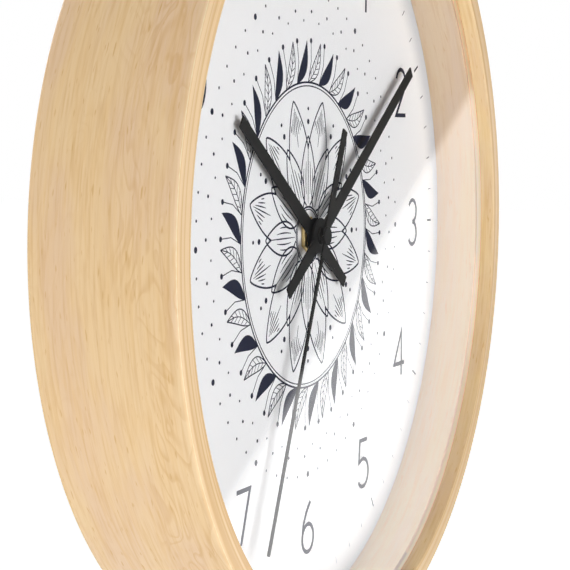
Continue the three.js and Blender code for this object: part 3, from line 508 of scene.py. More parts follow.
ACRYLIC_INDEX = 1.49
MIRROR_FACES = 1.8
PANE_TINT = (0.99, 0.99, 0.99)
PANE_ROUGHNESS = 0.02
SAWN_SKIN = 0.2 * MM
# Painted tone of the wood behind the sawn edge, and a painted glow on that edge, brighter higher up and
# towards the back
SAWN_EDGE = (0.85, 0.5, 0.12)
PAINTED_EDGE_GLOW = (0.88, 1.0, 0.98)
GLOW_LEAST, GLOW_MOST = 0.085, 0.215
GLOW_LOW, GLOW_HIGH = -65 * MM, -30 * MM
GLOW_SHARES = (0.4, 1.4)


def clear_acrylic():
    """A clear pane: light goes straight through, and the face met first mirrors for both.

    Its sawn edge is painted with the tone of the wood behind it, and has a painted glow for the light that
    the pane pipes to it, which is brighter higher up and towards the back.
    """
    material, tree = bare_material("clear_acrylic")
    inside = add_node(tree, "NewGeometry").outputs["Backfacing"]
    fresnel = add_node(tree, "Fresnel", {"IOR": ACRYLIC_INDEX}).outputs[0]
    faces = calc(tree, "MULTIPLY", calc(tree, "SUBTRACT", 1.0, inside), MIRROR_FACES)
    share = calc(tree, "MULTIPLY", fresnel, faces, clamp=True)
    through = add_node(tree, "BsdfTransparent", {"Color": PANE_TINT})
    mirror = add_node(tree, "BsdfGlossy", {"Color": share, "Roughness": PANE_ROUGHNESS})
    both = add_node(tree, "AddShader", {0: through.outputs[0], 1: mirror.outputs[0]})
    _, depth, radius = add_node(tree, "SeparateXYZ", {0: ring_place(tree)}).outputs
    sawn = spread(tree, radius, seat_radius - SAWN_SKIN, seat_radius - SAWN_SKIN / 2)
    # the sawn edge is painted with the tone of the wood behind it
    frosted = add_node(tree, "BsdfDiffuse", {"Color": SAWN_EDGE})
    # painted glow on the sawn edge, brighter higher up and towards the back
    height = add_node(tree, "SeparateXYZ", {0: object_place(tree)}).outputs[2]
    higher = spread(tree, height, GLOW_LOW, GLOW_HIGH, GLOW_LEAST, GLOW_MOST)
    rearward = spread(tree, depth, lens_front, lens_back, *GLOW_SHARES)
    strength = calc(tree, "MULTIPLY", higher, rearward)
    edge_glow = add_node(tree, "Emission", {"Color": PAINTED_EDGE_GLOW, "Strength": strength})
    edge = add_node(tree, "AddShader", {0: frosted.outputs[0], 1: edge_glow.outputs[0]})
    whole = add_node(tree, "MixShader", {0: sawn, 1: both.outputs[0], 2: edge.outputs[0]})
    show(tree, whole)
    return material


SCRATCH_WINDOW = (0.4, 0.8)
SCRATCH_ROUGH_WINDOW = (0.25, 0.75)
SCRATCH_ROUGH_SHARES = (0.75, 1.3)
SCRATCH_SHARE = 0.25
SCRATCH_DARK = 0.7
SCRATCH_BUMP = 0.08
SCRATCH_RELIEF = 0.05 * MM


def brushed_metal(name, color, roughness, scales):
    """Metal with fine scratches along one direction."""
    material, tree, shader = new_material(name, color, roughness, 1.0)
    scratch = noise(tree, object_place(tree), scales, detail=3, roughness=0.6)
    low, high = (roughness * share for share in SCRATCH_ROUGH_SHARES)
    tree.links.new(spread(tree, scratch, *SCRATCH_ROUGH_WINDOW, low, high), shader.inputs["Roughness"])
    dark = tuple(c * SCRATCH_DARK for c in color)
    tone = toned(tree, color, dark, scratch, SCRATCH_WINDOW, SCRATCH_SHARE)
    tree.links.new(tone, shader.inputs["Base Color"])
    add_bump(tree, shader, scratch, SCRATCH_BUMP, SCRATCH_RELIEF)
    return material


BOARD_TONE = (0.3, 0.17, 0.085)
BOARD_PALE = (0.33, 0.19, 0.095)
BOARD_DARK = (0.28, 0.155, 0.074)
BOARD_FIBRE_DARK = (0.14, 0.07, 0.03)
BOARD_FIBRE_PALE = (0.46, 0.3, 0.16)
BOARD_CLOUDS = (130, 130, 130)
BOARD_UPRIGHT, BOARD_LEVEL = (1500, 1500, 420), (420, 1500, 1500)
BOARD_BUMP = 0.25
BOARD_RELIEF = 0.2 * MM


def hardboard():
    """Pressed fibre board, with short dark and pale fibres that lie every way."""
    material, tree, shader = new_material("hardboard", BOARD_TONE, 0.85)
    place = object_place(tree)
    cloud = noise(tree, place, BOARD_CLOUDS, detail=4, roughness=0.6)
    fibre = noise(tree, place, BOARD_UPRIGHT, detail=3, distortion=1.5)
    cross = noise(tree, place, BOARD_LEVEL, detail=3, distortion=1.5)
    color = toned(tree, BOARD_PALE, BOARD_DARK, cloud, (0.35, 0.7))
    color = toned(tree, color, BOARD_FIBRE_DARK, fibre, (0.52, 0.75), 0.5)
    color = toned(tree, color, BOARD_FIBRE_PALE, cross, (0.55, 0.78), 0.4)
    tree.links.new(color, shader.inputs["Base Color"])
    add_bump(tree, shader, calc(tree, "ADD", fibre, cross), BOARD_BUMP, BOARD_RELIEF)
    return material


WRAP_DARK = (0.035, 0.05, 0.075)
WRAP_PALE = (0.5, 0.52, 0.55)
CAN_METAL = (0.55, 0.55, 0.54)
WRAP_BAND_START = 10 * MM
WRAP_BLUR = 0.1 * MM
SCUFF_SCALES = (700, 1800, 1800)
SCUFF_WINDOW, SCUFF_SHARE = (0.55, 0.8), 0.25
WRAP_ROUGH_WINDOW, WRAP_ROUGHNESS = (0.3, 0.8), (0.24, 0.4)
BARE_POSITIVE, BARE_NEGATIVE = 2 * MM, 0.5 * MM


def battery_wrap():
    """A plain dark wrap with a pale band towards the positive end, and bare metal at both ends."""
    material, tree, shader = new_material("battery_wrap", WRAP_DARK, 0.3)
    low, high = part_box("battery")
    place = object_place(tree)
    along = add_node(tree, "SeparateXYZ", {0: place}).outputs[0]
    band = spread(tree, along, WRAP_BAND_START - WRAP_BLUR, WRAP_BAND_START + WRAP_BLUR)
    color = mixed(tree, band, WRAP_DARK, WRAP_PALE)
    scuff = noise(tree, place, SCUFF_SCALES, detail=3)
    color = toned(tree, color, CAN_METAL, scuff, SCUFF_WINDOW, SCUFF_SHARE)
    right = spread(tree, along, high.x - BARE_POSITIVE - WRAP_BLUR, high.x - BARE_POSITIVE)
    left = spread(tree, along, low.x + BARE_NEGATIVE - WRAP_BLUR, low.x + BARE_NEGATIVE, 1, 0)
    bare = calc(tree, "MAXIMUM", left, right)
    tree.links.new(mixed(tree, bare, color, CAN_METAL), shader.inputs["Base Color"])
    tree.links.new(bare, shader.inputs["Metallic"])
    rough = spread(tree, scuff, *WRAP_ROUGH_WINDOW, *WRAP_ROUGHNESS)
    tree.links.new(rough, shader.inputs["Roughness"])
    return material


WOOD = frame_maple()
LINER = maple("maple_liner", LINER_SHIFT, LINER_TINT, LINER_CALM)[0]
ACRYLIC = clear_acrylic()
CARD = dial_card()
INK = speckled("navy_ink", (0.01, 0.013, 0.036), (0.016, 0.02, 0.05), 0.7, 1500, gloss=0.2)
PAINT_TONES = (0.014, 0.014, 0.014), (0.017, 0.017, 0.017)
BLACK_PAINT = speckled("hand_paint", *PAINT_TONES, 0.6, 2500, bump=0.02, gloss=0.2)
HARDBOARD = hardboard()
BRASS = brushed_metal("brass", (0.66, 0.5, 0.23), 0.32, (900, 900, 6000))
STEEL = brushed_metal("steel", (0.46, 0.47, 0.49), 0.36, (5000, 900, 700))
RUBBER = speckled("rubber", (0.022, 0.022, 0.023), (0.035, 0.035, 0.036), 0.85, 2500, bump=0.1)
BLACK_PLASTIC = speckled("case_plastic", (0.02, 0.02, 0.021), (0.03, 0.03, 0.031), 0.5, 4000, bump=0.12)
WHITE_PLASTIC = speckled("wheel_plastic", (0.78, 0.76, 0.7), (0.7, 0.68, 0.62), 0.45, 900, bump=0.02)
BATTERY_WRAP = battery_wrap()
CIRCUIT = speckled("circuit", (0.03, 0.14, 0.06), (0.04, 0.2, 0.08), 0.4, 1200)
COPPER = brushed_metal("copper", (0.75, 0.36, 0.18), 0.35, (9000, 400, 400))
MAGNET = brushed_metal("magnet", (0.3, 0.3, 0.31), 0.4, (3000, 3000, 3000))

SLOT_MATERIALS = {
    "maple": WOOD,
    "acrylic": ACRYLIC,
    "dial_card": CARD,
    "hardboard": HARDBOARD,
    "steel": STEEL,
    "rubber": RUBBER,
    "brass": BRASS,
    "case_plastic": BLACK_PLASTIC,
    "wheel_plastic": WHITE_PLASTIC,
    "battery_wrap": BATTERY_WRAP,
    "circuit": CIRCUIT,
    "copper": COPPER,
    "magnet": MAGNET,
    "hand_paint": BLACK_PAINT,
}


def dress_solids():
    """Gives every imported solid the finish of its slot."""
    for part in frame["record"]["subparts"]:
        solid = frame["nodes"][part["node"]]
        solid.data.materials.clear()
        solid.data.materials.append(SLOT_MATERIALS[part["material_slot"]])


# Frame, liner, lens, dial and board

def add_frame():
    back, front = frame_back, frame_front
    lip_back = lens_front
    corners = [
        (bore_radius, back, SMALL_ROUND),
        (frame_radius, back, REAR_ROUND),
        (frame_radius, front, FRONT_ROUND),
        (lip_radius, front, LIP_ROUND),
        (lip_radius, lip_back, SMALL_ROUND),
        (bore_radius, lip_back, 0),
    ]
    bm = bmesh.new()
    add_lathe(bm, rounded(corners))
    piece = add_piece("bent_frame", bm, WOOD, "case", ["frame_ring"])
    piece.visible_glossy = False


def add_disc(name, node, inner, edge, material):
    """A smooth disc or ring that stands for a faceted one."""
    front, back = node_depths(node)
    inner_edge = edge if inner else 0
    corners = [
        (inner, front, inner_edge), (seat_radius, front, edge),
        (seat_radius, back, edge), (inner, back, inner_edge),
    ]
    bm = bmesh.new()
    add_lathe(bm, rounded(corners, 3))
    add_piece(name, bm, material, "case", [node])


SHAFT_HOLE = 4.1 * MM
LINER_WALL = 1.7 * MM
LENS_EDGE, LINER_EDGE, DIAL_EDGE, BOARD_EDGE = 0.15 * MM, 0.1 * MM, 0.05 * MM, 0.2 * MM

add_frame()
add_disc("lens_pane", "lens", 0, LENS_EDGE, ACRYLIC)
add_disc("liner_ring", "spacer_ring", seat_radius - LINER_WALL, LINER_EDGE, LINER)
add_disc("dial_face", "dial", SHAFT_HOLE, DIAL_EDGE, CARD)
add_disc("rear_board", "back_board", SHAFT_HOLE, BOARD_EDGE, HARDBOARD)


# Hands

def hand_outline(blade, hub):
    """A blade that tapers from its root to both ends, with a round hub."""
    size = {name: value * MM for name, value in blade.items()}
    tip, tail = size["tip"], size["tail"]
    start = math.asin(size["root_width"] / 2 / hub)
    end = math.pi - math.asin(size["tail_root"] / 2 / hub)
    arc_steps = 20
    right = [Vector((size["tip_width"] / 2, tip))]
    for k in range(arc_steps + 1):
        right.append(on_dial(hub, start + (end - start) * k / arc_steps))
    right.append(Vector((size["tail_width"] / 2, -tail)))
    left = [Vector((-p.x, p.y)) for p in reversed(right)]
    return right + left


def turned_about_axis(bm, turn):
    bmesh.ops.rotate(bm, verts=bm.verts, cent=(0, 0, 0), matrix=Matrix.Rotation(turn, 3, "Y"))


def hand_turn(node):
    """How far a hand stands from the top, clockwise, from its farthest corner."""
    verts = [v.co for v in frame["nodes"][node].data.vertices]
    tip = max(math.hypot(v.x, v.z) for v in verts)
    far = [v for v in verts if math.hypot(v.x, v.z) > tip - MM]
    return math.atan2(sum(v.x for v in far), sum(v.z for v in far))


CAP_THICKNESS = 0.15 * MM
CAP_GAP = 0.02 * MM
CAP_EDGE = 0.04 * MM


def add_cap(bm, inner, outer, shaft_end):
    """A thin painted ring in front of a shaft's end, open for the arbor inside it."""
    back = shaft_end - CAP_GAP
    front = back - CAP_THICKNESS
    ring = [(inner, back, 0), (outer, back, 0), (outer, front, CAP_EDGE), (inner, front, CAP_EDGE)]
    add_lathe(bm, rounded(ring, 3), segments=64)


def add_pressed_hand(name, node, body, blade, shaft, shaft_radius, cap_bore=None):
    """A hand pressed on a shaft, with a collet that reaches to the shaft's end."""
    back = node_depths(node)[1]
    bore = shaft_radius + HAND_FIT
    collet_front = node_depths(shaft)[0]
    bm = bmesh.new()
    outlines = [hand_outline(blade, HUB_RADIUS), circle(bore, segments=48)]
    add_plate(bm, outlines, back - HAND_THICKNESS, back, HAND_EDGE)
    wall = bore + COLLET_WALL
    collet = [
        (bore, back - HAND_THICKNESS, 0), (wall, back - HAND_THICKNESS, 0),
        (wall, collet_front, COLLET_ROUND), (bore, collet_front, BORE_ROUND),
    ]
    add_lathe(bm, rounded(collet, 4), segments=64)
    if cap_bore:
        add_cap(bm, cap_bore, wall - COLLET_ROUND, collet_front)
    turned_about_axis(bm, hand_turn(node))
    add_piece(name, bm, BLACK_PAINT, body, [node], HAND_SMOOTH)


def add_second_hand():
    front, back = node_depths("second_hand")
    bm = bmesh.new()
    outline = hand_outline(SECOND_BLADE, SECOND_HUB_RADIUS)
    add_plate(bm, [outline], back - HAND_THICKNESS, back, HAND_EDGE)
    boss = [
        (0, back - HAND_THICKNESS, 0), (SECOND_BOSS_RADIUS, back - HAND_THICKNESS, 0),
        (SECOND_BOSS_RADIUS, front, SECOND_BOSS_ROUND), (0, front, 0),
    ]
    add_lathe(bm, rounded(boss, 5), segments=64)
    turned_about_axis(bm, hand_turn("second_hand"))
    add_piece("second_blade", bm, BLACK_PAINT, "second", ["second_hand"], HAND_SMOOTH)


HOUR_PIPE_RADIUS = 2.52 * MM
MINUTE_SHAFT_RADIUS = 1.66 * MM
ARBOR_BORE = 0.75 * MM

add_pressed_hand("hour_blade", "hour_hand", "hour", HOUR_BLADE, "hour_wheel", HOUR_PIPE_RADIUS)
add_pressed_hand(
    "minute_blade", "minute_hand", "minute", MINUTE_BLADE, "minute_shaft", MINUTE_SHAFT_RADIUS, ARBOR_BORE)
add_second_hand()


# Print on the dial: plain numerals, a track of dots and a rosette of petals and leaves

def arc(centre, radius, start, end, steps=14):
    """Points of an arc in a glyph's box, with angles in degrees from +x, anticlockwise."""
    turns = [math.radians(start + (end - start) * i / steps) for i in range(steps + 1)]
    return [(centre[0] + radius * math.cos(t), centre[1] + radius * math.sin(t)) for t in turns]


def oval(width, height, middle, steps=28):
    turns = [FULL_TURN * i / steps for i in range(steps + 1)]
    return [(width / 2 * math.cos(t), middle + height / 2 * math.sin(t)) for t in turns]


SIX = [oval(0.54, 0.56, 0.28), [(-0.26, 0.34), (-0.22, 0.56), (-0.08, 0.8), (0.12, 1.0)]]
GLYPHS = {
    "0": [oval(0.56, 1.0, 0.5)],
    "1": [[(-0.16, 0.82), (0.06, 1.0), (0.06, 0.0)]],
    "2": [arc((0, 0.73), 0.27, 165, -38) + [(-0.27, 0.0), (0.3, 0.0)]],
    "3": [arc((0, 0.755), 0.245, 150, -90), arc((0, 0.255), 0.255, 90, -150)],
    "4": [[(0.13, 0.0), (0.13, 1.0), (-0.31, 0.27), (0.31, 0.27)]],
    "5": [[(0.23, 1.0), (-0.18, 1.0), (-0.23, 0.54)] + arc((-0.01, 0.3), 0.3, 120, -145)],
    "6": SIX,
    "7": [[(-0.28, 1.0), (0.28, 1.0), (-0.1, 0.0)]],
    "8": [oval(0.46, 0.48, 0.76), oval(0.54, 0.52, 0.26)],
    "9": [[(-x, 1 - y) for x, y in stroke] for stroke in SIX],
}
GLYPH_WIDTH = 0.62
CLOSED_GAP = 1e-7
LEAST_MITRE = 0.35


def add_ribbon(bm, points, width, ends=1.0):
    """A flat line of ink along points on the dial. Its ends narrow to a share of its width."""
    points = [Vector(p) for p in points]
    closed = (points[0] - points[-1]).length < CLOSED_GAP
    last = len(points) - 1
    left, right = [], []
    for i, p in enumerate(points):
        before = points[i - 1] if i else (points[-2] if closed else points[0])
        after = points[i + 1] if i < last else (points[1] if closed else points[-1])
        along_in = (p - before).normalized() if p != before else (after - p).normalized()
        along_out = (after - p).normalized() if p != after else along_in
        along = (along_in + along_out).normalized()
        spare = max(LEAST_MITRE, along.dot(along_out))
        share = ends + (1 - ends) * math.sin(math.pi * i / last) if not closed else 1.0
        side = Vector((-along.y, along.x)) * (width * share / 2 / spare)
        left.append(p + side)
        right.append(p - side)
    add_ink(bm, left, right)


def add_ink(bm, left, right):
    """A thin closed film between two lines of points."""
    front, back = dial_front - INK_PROUD, dial_front + INK_PROUD
    rows = []
    for a, b in zip(left, right):
        rows.append([bm.verts.new((a.x, front, a.y)), bm.verts.new((b.x, front, b.y)),
                     bm.verts.new((b.x, back, b.y)), bm.verts.new((a.x, back, a.y))])
    for row, after in zip(rows, rows[1:]):
        for k in range(4):
            m = (k + 1) % 4
            bm.faces.new((row[k], row[m], after[m], after[k]))
    bm.faces.new(rows[0][::-1])
    bm.faces.new(rows[-1])


def add_dot(bm, centre, radius, sides=14):
    front, back = dial_front - INK_PROUD, dial_front + INK_PROUD
    rim = [Vector(centre) + on_dial(radius, FULL_TURN * i / sides) for i in range(sides)]
    near = [bm.verts.new((p.x, front, p.y)) for p in rim]
    far = [bm.verts.new((p.x, back, p.y)) for p in rim]
    bm.faces.new(near)
    bm.faces.new(far[::-1])
    for i in range(sides):
        m = (i + 1) % sides
        bm.faces.new((near[i], far[i], far[m], near[m]))


def add_numerals(bm):
    hours = 12
    step = NUMERAL_HEIGHT * GLYPH_WIDTH + NUMERAL_GAP
    for hour in range(1, hours + 1):
        digits = str(hour)
        middle = on_dial(NUMERAL_RADIUS, FULL_TURN * hour / hours)
        for i, digit in enumerate(digits):
            foot = middle + Vector(((i - (len(digits) - 1) / 2) * step, -NUMERAL_HEIGHT / 2))
            for stroke in GLYPHS[digit]:
                add_ribbon(bm, [foot + Vector(p) * NUMERAL_HEIGHT for p in stroke], NUMERAL_STROKE)


PETAL_SKEW, PETAL_FULLNESS, PETAL_TAPER = 0.8, 0.75, 0.15
PETAL_STEPS = 22
VEIN_STEPS = 8
VEIN_LINE, VEIN_ENDS = 0.7, 0.4


def petal_side(width, share):
    """Half the width of a petal at a share of its length: narrow at its foot, full past its middle."""
    swell = math.sin(math.pi * share ** PETAL_SKEW) ** PETAL_FULLNESS
    return width / 2 * swell * (1 - PETAL_TAPER * share)


def petal_point(foot, length, width, turn, share, side):
    """A point of a petal that grows out from the axis: side runs from -1 to 1 across it."""
    radial = foot + length * share
    across = side * petal_side(width, share)
    return on_dial(radial, turn) + on_dial(across, turn + math.pi / 2)


def add_petal(bm, foot, length, width, turn, start, line, veins):
    """The outline of a petal from a share of its length outwards, and veins inside it.

    Each vein is a place across the petal, and the shares of its length where it starts and ends.
    """
    shares = [start + (1 - start) * i / PETAL_STEPS for i in range(PETAL_STEPS + 1)]
    for side in (-1, 1):
        add_ribbon(bm, [petal_point(foot, length, width, turn, s, side) for s in shares], line)
    for side, low, high in veins:
        first = max(start, low)
        steps = [first + (high - first) * i / VEIN_STEPS for i in range(VEIN_STEPS + 1)]
        points = [petal_point(foot, length, width, turn, s, side) for s in steps]
        add_ribbon(bm, points, line * VEIN_LINE, VEIN_ENDS)


LEAF_STEPS = 14
LEAF_BEND, LEAF_SKEW = 0.12, 0.85
LEAF_VEINS = range(2, 12, 2)
LEAF_VEIN_REACH, LEAF_VEIN_SPAN = 1.6, 0.85
LEAF_RIB_LINE, LEAF_VEIN_LINE = 0.8, 0.6


def add_leaf(bm, foot, bearing, length, width, filled, line):
    """A leaf on a stem: a solid one, or an outline with a midrib and side veins."""
    along = on_dial(1, bearing)
    across = on_dial(1, bearing + math.pi / 2)
    shares = [i / LEAF_STEPS for i in range(LEAF_STEPS + 1)]

    def edge(share, side):
        bend = LEAF_BEND * length * math.sin(math.pi * share)
        half = width / 2 * math.sin(math.pi * share ** LEAF_SKEW)
        return foot + along * (length * share) + across * (bend + side * half)

    if filled:
        add_ink(bm, [edge(s, -1) for s in shares], [edge(s, 1) for s in shares])
        return
    for side in (-1, 1):
        add_ribbon(bm, [edge(s, side) for s in shares], line)
    add_ribbon(bm, [edge(s, 0) for s in shares], line * LEAF_RIB_LINE)
    for k in LEAF_VEINS:
        rib, end = k / LEAF_STEPS, (k + LEAF_VEIN_REACH) / LEAF_STEPS
        for side in (-1, 1):
            add_ribbon(bm, [edge(rib, 0), edge(end, side * LEAF_VEIN_SPAN)], line * LEAF_VEIN_LINE)


FINE_LINE = 0.38 * MM
BOLD_LINE = 0.6 * MM

# Rosette: a petal is its foot's radius, its length and its width, and a dot is its place's and its own radius
PETALS = 12
INNER_PETAL = (9 * MM, 22 * MM, 11 * MM)
OUTER_PETAL = (14 * MM, 29 * MM, 15 * MM)
INNER_START, OUTER_START = 0.02, 0.42
PETAL_DOTS = ((35.5 * MM, 0.9 * MM), (39.5 * MM, 0.6 * MM))
RING_LINES = ((8.2 * MM, FINE_LINE), (9 * MM, BOLD_LINE), (46.5 * MM, FINE_LINE), (47.6 * MM, BOLD_LINE))

# Ring of leaves round the rosette, each with a berry and two loose dots
LEAVES = 36
LEAF_FOOT = 47.6 * MM
LEAF_SIZE = (15.5 * MM, 4.6 * MM)
LEAF_LEAN = math.radians(38)
STEM_MIDDLE, STEM_LEAN, STEM_LINE = 54 * MM, math.radians(2.4), FINE_LINE * 0.8
BERRY_PLACE, BERRY_LEAN, BERRY_RADIUS = 60.5 * MM, math.radians(2), 0.85 * MM
LOOSE_DOTS = ((66.5 * MM, math.radians(7), 0.4 * MM), (69.5 * MM, math.radians(2), 0.55 * MM))
LOOSE_DOT_SIDES = 10

# Track: a dot and a line at every minute, larger at every fifth
MINUTES = 60
MINUTES_PER_HOUR_MARK = 5
TRACK_DOTS, TRACK_OUTER = 75.5 * MM, 112 * MM
TRACK_DOT_SIDES = 12
HOUR_MARK = {"dot": 0.95 * MM, "inner": 108 * MM, "line": 0.8 * MM}
MINUTE_MARK = {"dot": 0.45 * MM, "inner": 109.5 * MM, "line": 0.35 * MM}


def add_ring_line(bm, radius, line, steps=120):
    add_ribbon(bm, [on_dial(radius, FULL_TURN * i / steps) for i in range(steps + 1)], line)


def add_rosette(bm):
    pitch = FULL_TURN / PETALS
    inner_veins = [(0, 0.05, 0.9)]
    inner_veins += [(k / 3, 0.1 + 0.08 * abs(k), 0.74 - 0.1 * abs(k)) for k in range(-2, 3) if k]
    outer_veins = [(0, 0.5, 0.92)]
    outer_veins += [(k / 4, 0.6 + 0.03 * abs(k), 0.94 - 0.06 * abs(k)) for k in range(-3, 4) if k]
    for i in range(PETALS):
        add_petal(bm, *INNER_PETAL, i * pitch, INNER_START, BOLD_LINE, inner_veins)
        add_petal(bm, *OUTER_PETAL, (i + 0.5) * pitch, OUTER_START, BOLD_LINE, outer_veins)
        for place, radius in PETAL_DOTS:
            add_dot(bm, on_dial(place, i * pitch), radius)
    for radius, line in RING_LINES:
        add_ring_line(bm, radius, line)
    for i in range(LEAVES):
        turn = FULL_TURN * i / LEAVES
        foot = on_dial(LEAF_FOOT, turn)
        add_leaf(bm, foot, turn + LEAF_LEAN, *LEAF_SIZE, i % 2 == 1, FINE_LINE)
        berry = on_dial(BERRY_PLACE, turn + BERRY_LEAN)
        add_ribbon(bm, [foot, on_dial(STEM_MIDDLE, turn + STEM_LEAN), berry], STEM_LINE)
        add_dot(bm, berry, BERRY_RADIUS)
        for place, lean, radius in LOOSE_DOTS:
            add_dot(bm, on_dial(place, turn + lean), radius, LOOSE_DOT_SIDES)


def add_track(bm):
    for i in range(MINUTES):
        turn = FULL_TURN * i / MINUTES
        mark = MINUTE_MARK if i % MINUTES_PER_HOUR_MARK else HOUR_MARK
        add_dot(bm, on_dial(TRACK_DOTS, turn), mark["dot"], TRACK_DOT_SIDES)
        add_ribbon(bm, [on_dial(mark["inner"], turn), on_dial(TRACK_OUTER, turn)], mark["line"])


def add_print():
    bm = bmesh.new()
    add_numerals(bm)
    add_rosette(bm)
    add_track(bm)
    add_piece("dial_print", bm, INK, "case")


add_print()


# Movement, fixings and battery, seen from behind

EDGE_ANGLE = 40
FLAT_ANGLE = math.radians(1)
SOLID_MERGE = 1e-6

# Rounds of the edges, in millimetres
SOFT_EDGES = {
    "front_case": 0.3, "rear_cover": 0.25, "setting_knob": 0.15, "hanger_plate": 0.15, "shaft_nut": 0.2,
    "shaft_bushing": 0.1, "rubber_washer": 0.12, "positive_contact": 0.1, "negative_contact": 0.1,
}
TAB_EDGE = 0.1
TAB_COUNT = 6
SCREW_COUNT = 4


def add_softened(node, edge):
    """A copy of a solid with its sharp edges rounded, as moulded and stamped pieces have them."""
    row = next(part for part in frame["record"]["subparts"] if part["node"] == node)
    body = next(name for name, nodes in frame["record"]["behaviour"]["bodies"].items() if node in nodes)
    bm = bmesh.new()
    bm.from_mesh(frame["nodes"][node].data)
    bmesh.ops.remove_doubles(bm, verts=bm.verts, dist=SOLID_MERGE)
    bmesh.ops.dissolve_limit(bm, angle_limit=FLAT_ANGLE, verts=bm.verts, edges=bm.edges)
    slot = row["material_slot"]
    piece = add_piece("soft_" + node, bm, SLOT_MATERIALS[slot], body, [node], EDGE_ANGLE)
    round_over = piece.modifiers.new("edge", "BEVEL")
    round_over.width = edge * MM
    round_over.segments = 3
    round_over.limit_method = "ANGLE"
    round_over.angle_limit = math.radians(EDGE_ANGLE)
    round_over.harden_normals = True


def add_battery():
    """A round cell that lies along x, with rolled edges, a stepped positive end and its contact button."""
    low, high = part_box("battery")
    radius = (high.z - low.z) / 2
    button, button_round = 2.75 * MM, 0.4 * MM
    rolled, crease, fold = 0.7 * MM, 0.1 * MM, 0.2 * MM
    negative_rim, dish = radius - 1.6 * MM, low.x + 0.15 * MM
    positive_rim, shoulder = radius - 1.4 * MM, high.x - 1.3 * MM
    step = shoulder - 0.5 * MM
    profile = [
        (0, dish, 0),
        (negative_rim, dish, crease),
        (negative_rim, low.x, crease),
        (radius, low.x, rolled),
        (radius, shoulder, rolled),
        (positive_rim, shoulder, fold),
        (positive_rim, step, crease),
        (button, step, fold),
        (button, high.x, button_round),
        (0, high.x, 0),
    ]
    bm = bmesh.new()
    add_lathe(bm, rounded(profile, 4), segments=96)
    bmesh.ops.rotate(bm, verts=bm.verts, cent=(0, 0, 0), matrix=Matrix.Rotation(-math.pi / 2, 3, "Z"))
    bmesh.ops.translate(bm, verts=bm.verts, vec=(0, (low.y + high.y) / 2, (low.z + high.z) / 2))
    add_piece("battery_cell", bm, BATTERY_WRAP, "case", ["battery"])


HEAD_HEIGHT, HEAD_EDGE, HEAD_UNDERCUT = 1.0 * MM, 0.06 * MM, 0.1 * MM
RECESS_DEPTH, RECESS_HALF, RECESS_REACH = 0.55 * MM, 0.2 * MM, 0.85 * MM
RECESS_OVERLAP = 0.1 * MM
SHANK_RADIUS, SHANK_ROUND = 0.8 * MM, 0.2 * MM
SCREW_SEGMENTS = 48


def add_screw(node):
    """A pan-headed screw with a cross recess."""
    low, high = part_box(node)
    centre = Vector(((low.x + high.x) / 2, (low.z + high.z) / 2))
    head = (high.x - low.x) / 2
    back = high.y
    under, floor = back - HEAD_HEIGHT, back - RECESS_DEPTH
    half, reach = RECESS_HALF, RECESS_REACH
    arm = [Vector((half, half)), Vector((half, reach)), Vector((-half, reach))]
    cross = [centre + Matrix.Rotation(k * math.pi / 2, 2) @ p for k in range(4) for p in arm]
    bm = bmesh.new()
    outlines = [circle(head, centre, SCREW_SEGMENTS), cross]
    add_plate(bm, outlines, floor - RECESS_OVERLAP, back, HEAD_EDGE)
    stem = [
        (0, low.y, 0), (SHANK_RADIUS, low.y, SHANK_ROUND), (SHANK_RADIUS, under, 0),
        (head, under, HEAD_UNDERCUT), (head, floor, 0), (0, floor, 0),
    ]
    add_lathe(bm, rounded(stem, 3), centre, SCREW_SEGMENTS)
    add_piece("cross_" + node, bm, STEEL, "case", [node])


for node, edge in SOFT_EDGES.items():
    add_softened(node, edge)
for i in range(TAB_COUNT):
    add_softened(f"retaining_tab_{i + 1}", TAB_EDGE)
add_battery()
for i in range(SCREW_COUNT):
    add_screw(f"cover_screw_{i + 1}")
dress_solids()


# Camera, light and stage

def aim(item, place, target):
    item.location = place
    item.rotation_euler = (Vector(target) - Vector(place)).to_track_quat("-Z", "Y").to_euler()


def around_target(azimuth, elevation, distance, target=(0, 0, 0)):
    """The point at a distance from a target. Azimuth 0 is in front of the dial, and 90 is to its right."""
    side, rise = math.radians(azimuth), math.radians(elevation)
    away = Vector((math.sin(side) * math.cos(rise), -math.cos(side) * math.cos(rise), math.sin(rise)))
    return Vector(target) + away * distance


def add_camera():
    camera = bpy.data.cameras.new("camera")
    camera.sensor_width = SENSOR_WIDTH
    camera.lens = FOCAL_PIXELS / IMAGE_PIXELS * SENSOR_WIDTH
    camera.clip_start = CLIP_START
    holder = bpy.data.objects.new("camera", camera)
    scene.collection.objects.link(holder)
    place = around_target(CAMERA_AZIMUTH, CAMERA_ELEVATION, CAMERA_DISTANCE, CAMERA_TARGET)
    aim(holder, place, CAMERA_TARGET)
    scene.camera = holder


def add_softbox(name, azimuth, elevation, distance, size, power, in_gloss=False):
    """A square lamp that faces the clock, in degrees, metres and watts.

    Varnish and lens mirror it where in_gloss is set.
    """
    lamp = bpy.data.lights.new(name, "AREA")
    lamp.shape = "SQUARE"
    lamp.size = size
    lamp.energy = power
    holder = bpy.data.objects.new(name, lamp)
    scene.collection.objects.link(holder)
    holder.visible_glossy = in_gloss
    aim(holder, around_target(azimuth, elevation, distance), (0, 0, 0))


def background_rays(tree):
    """1 for rays that show the background: those of the camera, mirrors and clear panes."""
    path = add_node(tree, "LightPath").outputs
    seen = calc(tree, "MAXIMUM", path["Is Camera Ray"], path["Is Glossy Ray"])
    return calc(tree, "MAXIMUM", seen, path["Is Transmission Ray"])


WORLD_LIGHT = 0.06
FLOOR_HEIGHT = -0.9
FLOOR_SIZE = 40.0
FLOOR_TONE = (0.82, 0.82, 0.82)
FLOOR_GLOW = 0.96


